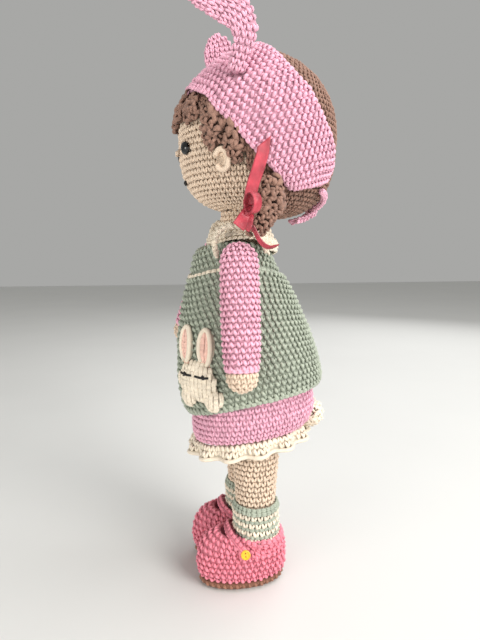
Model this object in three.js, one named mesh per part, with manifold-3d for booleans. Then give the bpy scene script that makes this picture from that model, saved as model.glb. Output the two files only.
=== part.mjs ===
// A crocheted doll in a bunny kerchief, standing on its shoes.
// Millimetres, +Z up. The doll faces -Y and its left side is +X.
import * as THREE from "three";
import { mergeVertices } from "three/addons/utils/BufferGeometryUtils.js";
import Module from "manifold-3d";

const wasm = await Module();
wasm.setup();

// Driving dimensions, in millimetres unless a name says otherwise.
// Heights are above the table. front, back and side are distances from the upright middle line.

const gap = 0.3; // between two pieces that touch
const weld = 0.001; // vertices closer than this are one
const overrun = 30; // by which a cutting body passes what it cuts

const head = {
  radius: 48.5,
  halfHeight: 48,
  crownHeight: 46.2,
  neckSink: 5,
  setBack: 1.5,
  neckClearance: 0.45,
  jawFullness: 3,
  crownFullness: 2,
  browShare: 0.09,
  sides: 24,
  rings: 14,
};
const hair = { thickness: 3.5 };
const bonnet = { thickness: 2.8 };

const torso = { front: 33, back: 32, side: 32, sink: 4, height: 165 };
const boss = { radius: 6, reach: 26 };
const pinafore = {
  front: 50,
  back: 48.2,
  side: 43.5,
  hemFront: 28,
  hemSide: 43,
  hemBack: 48,
  frontTopShare: 0.83,
  sideTopShare: 0.861,
  backTopShare: 0.81,
  cloth: 2.5,
};
const skirt = {
  front: 40.4,
  back: 43.8,
  side: 39.4,
  lowFront: 8.5,
  lowSide: 16,
  lowBack: 18,
  topShare: 0.51,
  cloth: 2.2,
};
const ruffle = {
  front: 42.3,
  back: 39.8,
  side: 38.3,
  dropFront: 9.5,
  dropSide: 10,
  dropBack: 8,
  cloth: 2,
  folds: 13,
  foldDepth: 1.9,
};
const collar = {
  neck: 14.5,
  neckBack: -5.5,
  neckShare: 0.933,
  front: 28.5,
  back: 15,
  side: 30.5,
  frontRimShare: 0.862,
  sideRimShare: 0.894,
  backRimShare: 0.84,
  cloth: 2.2,
  folds: 7,
  foldDepth: 1,
};
const arm = {
  jointX: 43,
  jointBack: -16,
  leftShare: 0.786,
  rightShare: 0.825,
  radius: 11,
  length: 76.5,
  handRadius: 9.6,
  leanDegrees: 9.1,
  rightSwingDegrees: 22,
};
const shoulderYarn = { radius: 1, from: 19, to: 38 };

const leg = { footX: 17.2, hipX: 15.9, thigh: 14, thighDepth: 15.4, ankle: 12.4, top: 92, bottom: 9 };
const sock = { top: 54.5, bottom: 24, wall: 1.6, lip: 0.6, lipHeight: 3.4, heelBack: 17.2, instep: 8.6, instepFront: 13 };
const shoe = { toe: 40.5, heel: 20.6, halfWidth: 15.7, height: 37, throat: 7.5, throatFront: 14.5 };
const shoeTop = { heel: 26.5, side: 29.5, throat: 33.5 };
const sole = { thickness: 5, toe: 38, heel: 18.6, halfWidth: 14.8, edge: 2.4 };
const strap = {
  width: 5,
  thickness: 1.8,
  high: 37.4,
  low: 27.5,
  inLow: 30.5,
  front: 19,
  back: 8.5,
  out: 16.6,
  in: 14.2,
};
const button = { radius: 3.1, thickness: 1.7, hole: 0.55, holeSpacing: 2, rim: 0.6, height: 28.6, front: 10.4, standOff: 0.9 };

const eye = { radius: 4, dome: 2.9, post: 1.3, postLength: 9, levelShare: -0.24, turnDegrees: 21 };
const washer = { radius: 5.4, thickness: 1.4, depth: 4.6 };
const nose = { width: 3.4, height: 2.4, proud: 1.7, levelShare: -0.23 };
const mouth = { halfWidth: 3.8, thread: 0.6, levelShare: -0.615, dip: 1.6 };
const dollEar = { halfHeight: 7.2, halfWidth: 5, proud: 3.6, dishShare: 0.62, levelShare: -0.431, turnDegrees: 57 };
const lock = { proud: 4.4 };

const pigtail = {
  radius: 7.8,
  flat: 0.74,
  turns: 1.4,
  topShare: 0.65,
  bottomShare: 1.31,
  pivotBelow: 0.8,
  swingGap: 0.5,
};
const ribbon = { width: 6.4, thickness: 0.7, knot: 3.1 };
const bow = { out: 7.1, front: 12.4, drop: 20, loop: 6.2 };
const tie = { radius: 1.5, sides: 8, steps: 24 };
const tieKnot = { halfWidth: 6.8, halfDepth: 2.9, halfHeight: 3.4 };

const bunnyEar = { ball: 4.4, sink: 1.3, thickness: 3, halfWidth: 10.5, levelShare: 0.5625, turnDegrees: 65.5, splay: 2.1 };
const patch = {
  turnDegrees: 39,
  aboveHem: 22.8,
  halfWidth: 15.5,
  halfHeight: 12,
  proud: 3,
  earLength: 24,
  earHalfWidth: 6.2,
  earSink: 2,
  paw: 6,
  pawHeight: 7,
  pawDrop: 13,
  pawSpreadShare: 0.52,
  earSpreadShare: 0.54,
};
const pompom = { radius: 8.6, lump: 0.9, back: 43.6, above: 25.5 };

const whole = Math.PI * 2;
const radians = (degrees) => THREE.MathUtils.degToRad(degrees);

// Levels that follow from the legs, the body and the head, one standing on the other.
const torsoBottom = leg.top - torso.sink;
const neckTop = torsoBottom + torso.height;
const headHeight = neckTop - head.neckSink + head.halfHeight;
const torsoLevel = (share) => torsoBottom + torso.height * share;
const headLevel = (share) => headHeight + head.halfHeight * share;

// Shares of the named sizes: how each form swells and tapers.
// Each row is the height share from the lower edge, then the front, side and back shares.
const pinaforeShares = [
  [0, 0.872, 0.977, 0.965],
  [0.05, 0.94, 1, 1],
  [0.2, 0.995, 0.968, 0.946],
  [0.45, 0.992, 0.874, 0.784],
  [0.66, 0.934, 0.774, 0.612],
  [0.75, 0.884, 0.733, 0.529],
  [0.81, 0.852, 0.712, 0.452],
  [0.83, 0.862, 0.73, 0.462],
  [0.85, 0.815, 0.678, 0.37],
  [0.97, 0.758, 0.63, 0.258],
  [1, 0.66, 0.552, 0.24],
];
const skirtShares = [
  [0, 0.955, 0.888, 0.81],
  [0.08, 1, 0.965, 0.925],
  [0.2, 1, 1, 1],
  [0.55, 0.985, 0.95, 0.89],
  [0.8, 0.915, 0.865, 0.72],
  [1, 0.868, 0.8, 0.605],
];
const ruffleShares = [
  [0, 1, 1, 1],
  [0.5, 0.965, 0.95, 0.94],
  [1, 0.915, 0.915, 0.892],
];
const torsoShares = [
  [0, 0.5, 0.62, 0.5],
  [0.02, 0.82, 0.86, 0.86],
  [0.07, 0.94, 0.96, 0.97],
  [0.2, 0.985, 1, 1],
  [0.38, 1, 0.97, 0.9],
  [0.51, 0.985, 0.906, 0.745],
  [0.65, 0.985, 0.844, 0.53],
  [0.77, 0.96, 0.79, 0.33],
  [0.825, 0.85, 0.71, 0.258],
  [0.86, 0.7, 0.6, 0.26],
  [0.9, 0.625, 0.47, 0.268],
  [0.945, 0.606, 0.453, 0.281],
  [1, 0.606, 0.453, 0.281],
];
const collarShares = [
  [0, 1],
  [0.3, 0.72],
  [0.62, 0.4],
  [0.85, 0.14],
  [1, 0],
];
// Each row is the share of the arm's length below the joint and the share of its radius.
const armShares = [
  [-0.134, 0.18],
  [-0.118, 0.5],
  [-0.08, 0.79],
  [-0.03, 0.97],
  [0.03, 1],
  [0.35, 1.03],
  [0.6, 1],
  [0.8, 0.93],
  [0.833, 0.86],
];
const handShares = [
  [0.837, 0.97],
  [0.89, 1],
  [0.945, 0.86],
  [0.98, 0.52],
  [1, 0.18],
];
// Each row is the share of the leg's height, then of the way from ankle to thigh.
const legShares = [
  [0, 0, 0.6],
  [0.05, 0, 0.9],
  [0.13, 0.05, 1],
  [0.38, 0.03, 1],
  [0.6, 0.24, 1],
  [0.8, 0.62, 1],
  [0.95, 1, 1],
  [1, 1, 0.97],
];
const shoeShares = [
  [0, 0.9, 0.92, 0.88],
  [0.1, 0.975, 0.985, 0.98],
  [0.32, 1, 1, 1],
  [0.5, 0.985, 0.985, 0.995],
  [0.68, 0.95, 1, 1],
  [0.83, 0.87, 0.985, 0.98],
  [0.94, 0.74, 0.76, 0.9],
  [1, 0.6, 0.4, 0.5],
];
// Each row is the share of the strap's reach across the foot and of its rise over the instep.
const strapShares = [
  [-1, 0],
  [-0.86, 0.48],
  [-0.42, 0.94],
  [0, 1],
  [0.42, 0.94],
  [0.86, 0.52],
  [1, 0.18],
  [1.005, -0.1],
];
// The kerchief's outline seen from the side, as shares of its own reach and half height.
const bonnetOutlineShares = [
  [-1.12, 0.62],
  [-0.79, 0.437],
  [-0.755, 0.365],
  [-0.696, 0.31],
  [-0.628, 0.238],
  [-0.587, 0.153],
  [-0.531, 0.066],
  [-0.456, -0.013],
  [-0.376, -0.085],
  [-0.283, -0.219],
  [-0.186, -0.327],
  [-0.103, -0.405],
  [-0.009, -0.486],
  [0.07, -0.563],
  [0.154, -0.638],
  [0.206, -0.678],
  [0.265, -0.689],
  [0.371, -0.673],
  [0.579, -0.631],
  [0.683, -0.575],
  [0.748, -0.398],
  [0.748, -0.234],
  [0.656, -0.068],
  [0.549, 0.067],
  [0.462, 0.2],
  [0.387, 0.324],
  [0.269, 0.43],
  [0.191, 0.533],
  [0.119, 0.654],
  [0.05, 0.754],
  [-0.009, 0.833],
  [-0.1, 1.2],
  [-1.12, 1.2],
];
const hairOutlineShares = [
  [-1.12, 0.3],
  [-0.8, 0.24],
  [-0.66, 0.17],
  [-0.54, 0.01],
  [-0.4, -0.14],
  [-0.27, -0.34],
  [-0.17, -0.6],
  [-0.06, -0.84],
  [0.12, -0.96],
  [0.3, -1.2],
  [1.2, -1.2],
  [1.2, 1.2],
  [-1.12, 1.2],
];
// Each lock is its middle's turn in degrees, its top and bottom as shares of the head's half height,
// and its half width as a share of the head's radius.
const lockShares = [
  [13, 0.56, 0.075, 0.19],
  [33, 0.5, 0.02, 0.185],
  [52, 0.36, -0.325, 0.16],
  [66.5, 0.1, -0.47, 0.12],
];
const lockSwellShares = [0.3, 0.88, 1, 0.84, 0.98, 0.72, 0.26];
const pigtailShares = [
  [0, 0.6, 0.03],
  [0.14, 0.9, 0.05],
  [0.34, 1, 0.05],
  [0.54, 0.98, 0],
  [0.72, 0.84, -0.35],
  [0.88, 0.62, -0.78],
  [1, 0.3, -1],
];
// Each row is the distance along the ear and the share of its half width.
const bunnyEarWidthShares = [0.4, 0.46, 0.52, 0.7, 0.95, 1.12, 1.08, 0.8, 0.3];

// Turns a geometry into a solid with its faces pointing out.
function solid(geometry) {
  const bare = geometry.index ? geometry.toNonIndexed() : geometry.clone();
  for (const name of Object.keys(bare.attributes)) {
    if (name !== "position") {
      bare.deleteAttribute(name);
    }
  }
  const merged = mergeVertices(bare, weld);
  const corners = [];
  const index = merged.index.array;
  for (let i = 0; i < index.length; i += 3) {
    const [a, b, c] = [index[i], index[i + 1], index[i + 2]];
    if (a !== b && b !== c && c !== a) {
      corners.push(a, b, c);
    }
  }
  const build = (triangles) =>
    new wasm.Manifold(
      new wasm.Mesh({
        numProp: 3,
        vertProperties: new Float32Array(merged.attributes.position.array),
        triVerts: new Uint32Array(triangles),
      }),
    );
  const made = build(corners);
  return made.volume() < 0 ? build(corners.reverse()) : made;
}

function geometryOf(made) {
  const mesh = made.getMesh();
  const geometry = new THREE.BufferGeometry();
  geometry.setAttribute("position", new THREE.BufferAttribute(new Float32Array(mesh.vertProperties), 3));
  geometry.setIndex(new THREE.BufferAttribute(new Uint32Array(mesh.triVerts), 1));
  geometry.computeVertexNormals();
  return geometry;
}

// Joins rings of equal count into one closed body: with both ends capped, or end to start as a band.
function loft(rings, band = false) {
  const count = rings[0].length;
  const places = [];
  const faces = [];
  rings.forEach((ring) => ring.forEach((point) => places.push(point.x, point.y, point.z)));
  const steps = band ? rings.length : rings.length - 1;
  for (let j = 0; j < steps; j += 1) {
    const here = j * count;
    const next = ((j + 1) % rings.length) * count;
    for (let i = 0; i < count; i += 1) {
      const after = (i + 1) % count;
      faces.push(here + i, here + after, next + after, here + i, next + after, next + i);
    }
  }
  if (!band) {
    [rings[0], rings[rings.length - 1]].forEach((ring, end) => {
      const middle = ring.reduce((sum, point) => sum.add(point), new THREE.Vector3());
      middle.divideScalar(count);
      const hub = places.length / 3;
      const start = end * (rings.length - 1) * count;
      places.push(middle.x, middle.y, middle.z);
      for (let i = 0; i < count; i += 1) {
        const pair = [start + ((i + 1) % count), start + i];
        faces.push(hub, ...(end ? pair.reverse() : pair));
      }
    });
  }
  const geometry = new THREE.BufferGeometry();
  geometry.setAttribute("position", new THREE.Float32BufferAttribute(places, 3));
  geometry.setIndex(faces);
  return solid(geometry);
}

// A value that runs smoothly round the doll through its front, side and back values.
function around(turn, front, side, back) {
  const ends = (front + back) / 2;
  const tilt = (front - back) / 2;
  return (ends + side) / 2 + tilt * Math.cos(turn) + ((ends - side) / 2) * Math.cos(2 * turn);
}

// An upright oval ring. front and back are measured from the middle line, level is a function of the turn.
function oval(count, front, side, back, level, middleX = 0, swell = () => 0) {
  return Array.from({ length: count }, (_, i) => {
    const turn = (i / count) * whole;
    const more = swell(turn);
    const middle = (back - front) / 2;
    const reach = (back + front) / 2 + more;
    return new THREE.Vector3(
      middleX + (side + more) * Math.sin(turn),
      middle - reach * Math.cos(turn),
      level(turn),
    );
  });
}

// A lathed body about the upright axis, from a list of radius and height pairs.
function turned(profile, sides) {
  const points = profile.map(([radius, height]) => new THREE.Vector2(radius, height));
  return new THREE.LatheGeometry(points, sides).rotateX(Math.PI / 2);
}

function ball(radius, place, wide = 14, high = 8) {
  return new THREE.SphereGeometry(radius, wide, high).translate(place.x, place.y, place.z);
}

// A round bar between two points.
function bar(from, to, radius, sides = 16) {
  const along = new THREE.Vector3().subVectors(to, from);
  const geometry = new THREE.CylinderGeometry(radius, radius, along.length(), sides);
  const upright = new THREE.Vector3(0, 1, 0);
  geometry.applyQuaternion(new THREE.Quaternion().setFromUnitVectors(upright, along.clone().normalize()));
  const middle = new THREE.Vector3().addVectors(from, to).divideScalar(2);
  return geometry.translate(middle.x, middle.y, middle.z);
}

// An ellipsoid whose third half axis points along out, its second as nearly up as it can.
function pad(place, out, halfWidth, halfHeight, proud, roll = 0, wide = 14, high = 8) {
  const outward = out.clone().normalize();
  const side = new THREE.Vector3(0, 0, 1).cross(outward).normalize();
  const up = new THREE.Vector3().crossVectors(outward, side);
  const geometry = new THREE.SphereGeometry(1, wide, high);
  geometry.scale(halfWidth, halfHeight, proud).rotateZ(roll);
  geometry.applyMatrix4(new THREE.Matrix4().makeBasis(side, up, outward));
  return geometry.translate(place.x, place.y, place.z);
}

// A flat strip of even thickness through points, with the given direction across its width.
function strip(points, across, width, thickness, stepsEach = 2) {
  const curve = new THREE.CatmullRomCurve3(points);
  const steps = (points.length - 1) * stepsEach;
  const rings = [];
  for (let i = 0; i <= steps; i += 1) {
    const share = i / steps;
    const place = curve.getPoint(share);
    const along = curve.getTangent(share);
    const wide = across(share).clone();
    wide.addScaledVector(along, -wide.dot(along)).normalize();
    const thick = new THREE.Vector3().crossVectors(along, wide);
    const corner = (w, t) =>
      place.clone().addScaledVector(wide, (w * width) / 2).addScaledVector(thick, (t * thickness) / 2);
    rings.push([corner(1, 1), corner(-1, 1), corner(-1, -1), corner(1, -1)]);
  }
  return loft(rings);
}

// A tube through points, closed at both ends.
function tube(points, radius, sides, steps) {
  const section = new THREE.Shape(
    Array.from({ length: sides }, (_, i) => {
      const turn = (i / sides) * whole;
      return new THREE.Vector2(radius * Math.cos(turn), radius * Math.sin(turn));
    }),
  );
  const path = new THREE.CatmullRomCurve3(points);
  return solid(new THREE.ExtrudeGeometry(section, { steps, extrudePath: path, bevelEnabled: false }));
}

// A body of the given outline in the side view, as wide as the doll and more.
function sidePrism(outline) {
  const shape = new THREE.Shape(outline.map(([back, height]) => new THREE.Vector2(back, height)));
  const wide = head.radius + overrun;
  const geometry = new THREE.ExtrudeGeometry(shape, { depth: 2 * wide, bevelEnabled: false });
  geometry.translate(0, 0, -wide);
  const basis = new THREE.Matrix4().makeBasis(
    new THREE.Vector3(0, 1, 0),
    new THREE.Vector3(0, 0, 1),
    new THREE.Vector3(1, 0, 0),
  );
  return solid(geometry.applyMatrix4(basis));
}

// Sides: +1 is the doll's left, -1 its right.
const sides = [
  ["left", 1],
  ["right", -1],
];

// The head and what is worked onto it.

const headCentre = new THREE.Vector3(0, head.setBack, headHeight);

// How far the head reaches in a direction from its middle: a little less at the brow.
const browShrink = (way) => 1 - 2 * head.browShare * Math.max(-way.y, 0) * Math.max(way.z, 0);

// The head's stuffed form, grown by some millimetres.
function headForm(grown) {
  const profile = [];
  for (let i = 0; i <= head.rings; i += 1) {
    const lift = Math.PI * (i / head.rings - 1 / 2);
    const power = 2 / (lift < 0 ? head.jawFullness : head.crownFullness);
    const rise = Math.sign(Math.sin(lift)) * Math.abs(Math.sin(lift)) ** power;
    const spread = i === 0 || i === head.rings ? 0 : Math.cos(lift) ** power;
    const tall = lift < 0 ? head.halfHeight : head.crownHeight;
    profile.push([(head.radius + grown) * spread, (tall + grown) * rise]);
  }
  const geometry = turned(profile, head.sides);
  const places = geometry.getAttribute("position");
  const point = new THREE.Vector3();
  for (let i = 0; i < places.count; i += 1) {
    point.fromBufferAttribute(places, i);
    point.multiplyScalar(browShrink(point.clone().normalize())).add(headCentre);
    places.setXYZ(i, point.x, point.y, point.z);
  }
  return solid(geometry);
}

// A point on the head's surface, grown by some millimetres, at a turn from the front and a height.
function onHead(turn, level, grown = 0) {
  const above = level > headHeight;
  const rise = Math.min(Math.abs(level - headHeight) / ((above ? head.crownHeight : head.halfHeight) + grown), 1);
  const power = above ? head.crownFullness : head.jawFullness;
  const reach = (head.radius + grown) * (1 - rise ** power) ** (1 / power);
  const point = new THREE.Vector3(reach * Math.sin(turn), -reach * Math.cos(turn), level - headHeight);
  return point.multiplyScalar(browShrink(point.clone().normalize())).add(headCentre);
}

// The direction that faces away from the head at a turn and height.
function awayFromHead(turn, level) {
  const step = head.halfHeight / 50;
  const up = onHead(turn, level + step).sub(onHead(turn, level - step));
  const side = new THREE.Vector3(Math.cos(turn), Math.sin(turn), 0);
  return new THREE.Vector3().crossVectors(side, up).normalize();
}

function headOutline(shares, grown) {
  return shares.map(([back, height]) => [
    head.setBack + back * (head.radius + grown),
    headHeight + height * (head.halfHeight + grown),
  ]);
}

const hairInside = gap;
const hairOutside = hairInside + hair.thickness;
const bonnetInside = hairOutside + gap;
const bonnetOutside = bonnetInside + bonnet.thickness;

const pigtailPivot = (side) =>
  new THREE.Vector3(
    side * head.radius,
    pigtailShares[0][2] * pigtail.radius,
    headLevel(-pigtail.topShare) - pigtail.pivotBelow,
  );

const bonnetPrism = sidePrism(headOutline(bonnetOutlineShares, bonnetOutside));
const hairPrism = sidePrism(headOutline(hairOutlineShares, bonnetOutside));

// What each head piece keeps clear of: the larger one, grown by the gap.
const clearOfHead = headForm(gap);
const clearOfHair = headForm(hairOutside + gap).intersect(hairPrism);
const clearOfBonnet = headForm(bonnetOutside + gap).intersect(bonnetPrism);

const eyePlace = (side) => onHead(side * radians(eye.turnDegrees), headLevel(eye.levelShare));
const eyeAxis = (side) => awayFromHead(side * radians(eye.turnDegrees), headLevel(eye.levelShare));
const alongEye = (side, depth) => eyePlace(side).addScaledVector(eyeAxis(side), -depth);

function makeHead() {
  let made = headForm(0);
  for (const [, side] of sides) {
    const pocket = washer.thickness + gap;
    made = made.subtract(solid(bar(alongEye(side, -eye.dome), alongEye(side, eye.postLength + gap), eye.post + gap)));
    made = made.subtract(
      solid(bar(alongEye(side, washer.depth - gap), alongEye(side, washer.depth + pocket), washer.radius + gap)),
    );
  }
  return made;
}

function makeEye(side) {
  const cap = [];
  const steps = 6;
  cap.push([0, 0]);
  for (let i = 0; i <= steps; i += 1) {
    const rise = (Math.PI / 2) * (i / steps);
    cap.push([i === steps ? 0 : eye.radius * Math.cos(rise), eye.dome * Math.sin(rise)]);
  }
  const dome = turned(cap, 20);
  const facing = new THREE.Quaternion().setFromUnitVectors(new THREE.Vector3(0, 0, 1), eyeAxis(side));
  const seat = alongEye(side, -gap);
  dome.applyQuaternion(facing).translate(seat.x, seat.y, seat.z);
  let made = solid(dome).subtract(clearOfHead);
  made = made.add(solid(bar(alongEye(side, -eye.dome / 2), alongEye(side, eye.postLength), eye.post, 12)));
  return made;
}

function makeWasher(side) {
  const disc = bar(alongEye(side, washer.depth), alongEye(side, washer.depth + washer.thickness - gap), washer.radius);
  const hole = bar(alongEye(side, 0), alongEye(side, eye.postLength), eye.post + gap, 12);
  return solid(disc).subtract(solid(hole));
}

function makeDollEar(side) {
  const turn = side * radians(dollEar.turnDegrees);
  const place = onHead(turn, headLevel(dollEar.levelShare));
  const out = awayFromHead(turn, headLevel(dollEar.levelShare));
  const shell = pad(place, out, dollEar.halfWidth, dollEar.halfHeight, dollEar.proud, 0, 14, 8);
  const hollow = place.clone().addScaledVector(out, dollEar.proud);
  const dish = dollEar.dishShare;
  const scoop = pad(hollow, out, dollEar.halfWidth * dish, dollEar.halfHeight * dish, dollEar.proud * dish, 0, 12, 6);
  return solid(shell).subtract(solid(scoop)).subtract(clearOfHead);
}

function makeNose() {
  const level = headLevel(nose.levelShare);
  const made = pad(onHead(0, level), awayFromHead(0, level), nose.width, nose.height, nose.proud + gap);
  return solid(made).subtract(clearOfHead);
}

function makeMouth() {
  const points = [-1, -1 / 2, 0, 1 / 2, 1].map((share) => {
    const level = headLevel(mouth.levelShare) - mouth.dip * (1 - share * share);
    const turn = (share * mouth.halfWidth) / head.radius;
    return onHead(turn, level).addScaledVector(awayFromHead(turn, level), mouth.thread + 2 * gap);
  });
  return tube(points, mouth.thread, 6, 8).subtract(clearOfHead);
}

// A curl of the fringe: it lies on the head, scalloped along its length.
function makeLock(side, [turnDegrees, topShare, bottomShare, widthShare], grown = 0) {
  const top = headLevel(topShare);
  const bottom = headLevel(bottomShare);
  const last = lockSwellShares.length - 1;
  const rings = lockSwellShares.map((swell, row) => {
    const level = top + ((bottom - top) * row) / last;
    const turn = side * radians(turnDegrees);
    const count = 10;
    const high = lock.proud * (1 / 2 + swell / 2) + grown;
    return Array.from({ length: count }, (_, i) => {
      const angle = (i / count) * whole;
      const sideways = (swell * widthShare * head.radius + grown) * Math.cos(angle);
      const bend = turn + sideways / head.radius;
      return onHead(bend, level, (high * (1 + Math.sin(angle))) / 2);
    });
  });
  return loft(rings);
}

// What the pigtail keeps clear of as it swings: the hair's side turned about the swing's axis.
function pigtailKeepOut(side) {
  const place = pigtailPivot(side);
  const low = headLevel(-1) - hairOutside;
  const rows = 7;
  const profile = [[0, 0]];
  for (let i = 0; i <= rows; i += 1) {
    const reach = ((place.z - low) * i) / rows;
    const level = Math.max(place.z - Math.max(reach - pigtail.radius, -pigtail.pivotBelow), low + weld);
    profile.push([reach, onHead(Math.PI / 2, level, hairOutside + pigtail.swingGap).x]);
  }
  profile.push([profile[rows + 1][0], 0]);
  profile.push([0, 0]);
  const geometry = turned(profile, 20).rotateY((side * Math.PI) / 2);
  return solid(geometry.translate(0, place.y, place.z));
}

function makePigtail(side, grown = 0) {
  const top = headLevel(-pigtail.topShare);
  const bottom = headLevel(-pigtail.bottomShare);
  const heights = new THREE.CatmullRomCurve3(pigtailShares.map((row) => new THREE.Vector3(...row)));
  const rows = 11;
  const count = 12;
  const rings = Array.from({ length: rows + 1 }, (_, row) => {
    const { x: down, y: swell, z: back } = heights.getPoint(row / rows);
    const level = top + (bottom - top) * down;
    const twist = side * down * pigtail.turns * whole;
    return Array.from({ length: count }, (_, i) => {
      const angle = (i / count) * whole;
      const ridge = 1 - (1 - pigtail.flat) * Math.sin(angle - twist) ** 2;
      const reach = pigtail.radius * swell * ridge + grown;
      return new THREE.Vector3(
        side * head.radius + reach * Math.cos(angle),
        back * pigtail.radius + reach * Math.sin(angle),
        level,
      );
    });
  });
  return loft(rings);
}

// A satin ribbon tied in a bow round the pigtail: a standing tail, a loop, a flap and a hanging tail.
function makeBow(side) {
  const level = pigtailPivot(side).z - bow.drop;
  const at = (out, forward, up) =>
    new THREE.Vector3(side * (head.radius + bow.out + out), -(bow.front + forward), level + up);
  const w = ribbon.width;
  const t = ribbon.thickness;
  const outward = () => new THREE.Vector3(0, 1, 0);
  const standing = strip(
    [at(0, 0, 0), at(w / 8, -w / 6, w * 1.4), at(w / 5, -w / 1.8, w * 3), at(w / 4, -w * 1.05, w * 4.7), at(w / 4, -w * 1.5, w * 6.4)],
    outward,
    w,
    t,
  );
  const turnOf = (share) => share * whole;
  const loopPoints = Array.from({ length: 7 }, (_, i) => {
    const turn = turnOf(i / 7.4) - Math.PI / 2;
    const r = bow.loop / 2;
    return at(r * Math.cos(turn) + t, -r * 0.2, r * 1.25 + r * 1.25 * Math.sin(turn));
  });
  const loop = strip(loopPoints, outward, w, t);
  const flap = strip(
    [at(0, 0, 0), at(w / 5, w / 2, -w / 3), at(w / 5, w, -w * 0.85), at(0, w * 1.25, -w * 1.3)],
    () => new THREE.Vector3(0, 1, 1),
    w,
    t,
  );
  const hanging = strip(
    [at(0, 0, 0), at(w / 6, -w / 3, -w), at(0, -w, -w * 1.9), at(-w / 8, -w * 1.7, -w * 2.3), at(0, -w * 2.5, -w * 2.2)],
    () => new THREE.Vector3(1, 0, 0.4),
    w * 0.8,
    t,
  );
  const knot = solid(pad(at(0, 0, 0), new THREE.Vector3(side, 0, 0), ribbon.knot, ribbon.knot, ribbon.knot * 0.8, 0, 10, 6));
  const hub = at(0, 0, 0);
  const ring = pigtail.radius + gap + t;
  const wrapPoints = Array.from({ length: 8 }, (_, i) => {
    const turn = side * (whole * (i / 7)) * 0.94 + Math.atan2(hub.y, hub.x - side * head.radius);
    return new THREE.Vector3(side * head.radius + ring * Math.cos(turn), ring * Math.sin(turn), level);
  });
  const wrap = strip([hub, ...wrapPoints], () => new THREE.Vector3(0, 0, 1), w / 2, t, 1);
  return [loop, flap, hanging, knot, wrap].reduce((made, piece) => made.add(piece), standing);
}

// The left tie on the hair, from the kerchief's corner to the nape: each row is its turn from the front as a
// share of a whole turn and its level as a share of the head's half height.
const tieOnHairShares = [
  [0.378, -0.762],
  [0.407, -0.802],
  [0.435, -0.844],
  [0.459, -0.888],
  [0.474, -0.938],
];
// Its free end below the knot, out from, behind and above the head's middle in shares of the half height.
const tieEndShares = [
  [0.104, 0.808, -1],
  [0.108, 0.73, -1.054],
  [0.138, 0.646, -1.09],
  [0.173, 0.573, -1.104],
];

function tieRoute(side) {
  const standOff = hairOutside + tie.radius + 2 * gap;
  const onHair = tieOnHairShares.map(([turn, level]) => onHead(side * turn * whole, headLevel(level), standOff));
  const free = tieEndShares.map(([out, back, up]) =>
    new THREE.Vector3(side * out, back, up).multiplyScalar(head.halfHeight).add(headCentre),
  );
  return [...onHair, ...free];
}

function makeTie(side, grown = 0) {
  return tube(tieRoute(side), tie.radius + grown, tie.sides, tie.steps);
}

function makeTieKnot() {
  const [lastOnHair, firstFree] = [tieOnHairShares.length - 1, tieOnHairShares.length];
  const route = tieRoute(1);
  const place = route[lastOnHair].clone().add(route[firstFree]).divideScalar(2).setX(0);
  const made = pad(
    place,
    new THREE.Vector3(0, 1, 0),
    tieKnot.halfWidth,
    tieKnot.halfHeight,
    tieKnot.halfDepth,
    0,
    12,
    8,
  );
  return sides.reduce((rest, [, side]) => rest.subtract(makeTie(side, gap)), solid(made));
}

function makeHairCap() {
  const shell = headForm(hairOutside).subtract(headForm(hairInside)).intersect(hairPrism);
  return shell.subtract(torsoForm(gap));
}

const earBall = (side) => {
  const seat = onHead(side * radians(bunnyEar.turnDegrees), headLevel(bunnyEar.levelShare), bonnetOutside);
  return seat.setX(seat.x + side * (bunnyEar.ball - bunnyEar.sink));
};

// Each kerchief ear's middle line, as shares of the ear's half width: forward of its ball and above it.
const leftEarShares = [
  [0, 0],
  [-0.15, 0.5],
  [-0.3, 1],
  [-0.4, 1.75],
  [0.12, 2.5],
  [0.85, 3.08],
  [1.75, 3.55],
  [2.6, 3.8],
  [3.25, 3.85],
];
const rightEarShares = [
  [0, 0],
  [-0.1, 0.5],
  [-0.22, 1],
  [-0.34, 1.8],
  [-0.42, 2.65],
  [-0.4, 3.45],
  [-0.3, 4.2],
  [-0.12, 4.75],
  [0.1, 5.1],
];

function makeBunnyEar(side, shares) {
  const centre = earBall(side);
  const unit = bunnyEar.halfWidth;
  const points = shares.map(([forward, up], i) => {
    const out = side * Math.min(i, 2) * bunnyEar.splay;
    return new THREE.Vector3(centre.x + out, centre.y - forward * unit, centre.z + up * unit);
  });
  const curve = new THREE.CatmullRomCurve3(points);
  const last = points.length - 1;
  const count = 12;
  const rings = bunnyEarWidthShares.map((share, row) => {
    const along = curve.getTangent(row / last);
    const place = curve.getPoint(row / last);
    const across = new THREE.Vector3().crossVectors(along, new THREE.Vector3(1, 0, 0)).normalize();
    const thick = bunnyEar.thickness * (row > last - 2 ? 0.75 : 1);
    return Array.from({ length: count }, (_, i) => {
      const angle = (i / count) * whole;
      return place
        .clone()
        .addScaledVector(across, share * unit * Math.cos(angle))
        .add(new THREE.Vector3(thick * Math.sin(angle), 0, 0));
    });
  });
  return loft(rings).add(solid(ball(bunnyEar.ball, centre)));
}

function makeBonnet() {
  let made = headForm(bonnetOutside).subtract(headForm(bonnetInside)).intersect(bonnetPrism);
  for (const [, side] of sides) {
    made = made.subtract(solid(ball(bunnyEar.ball + gap, earBall(side), 16, 8)));
  }
  return made;
}

// The stuffed body, the limbs and the clothes.

// Rings of a garment or body from its table of shares.
function garmentRings(count, shares, size, lowAt, topAt, inset = 0, swell = () => 0) {
  return shares.map(([up, front, side, back]) =>
    oval(
      count,
      front * size.front - inset,
      side * size.side - inset,
      back * size.back - inset,
      (turn) => lowAt(turn) + (topAt(turn) - lowAt(turn)) * up,
      0,
      (turn) => swell(turn, up),
    ),
  );
}

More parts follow.
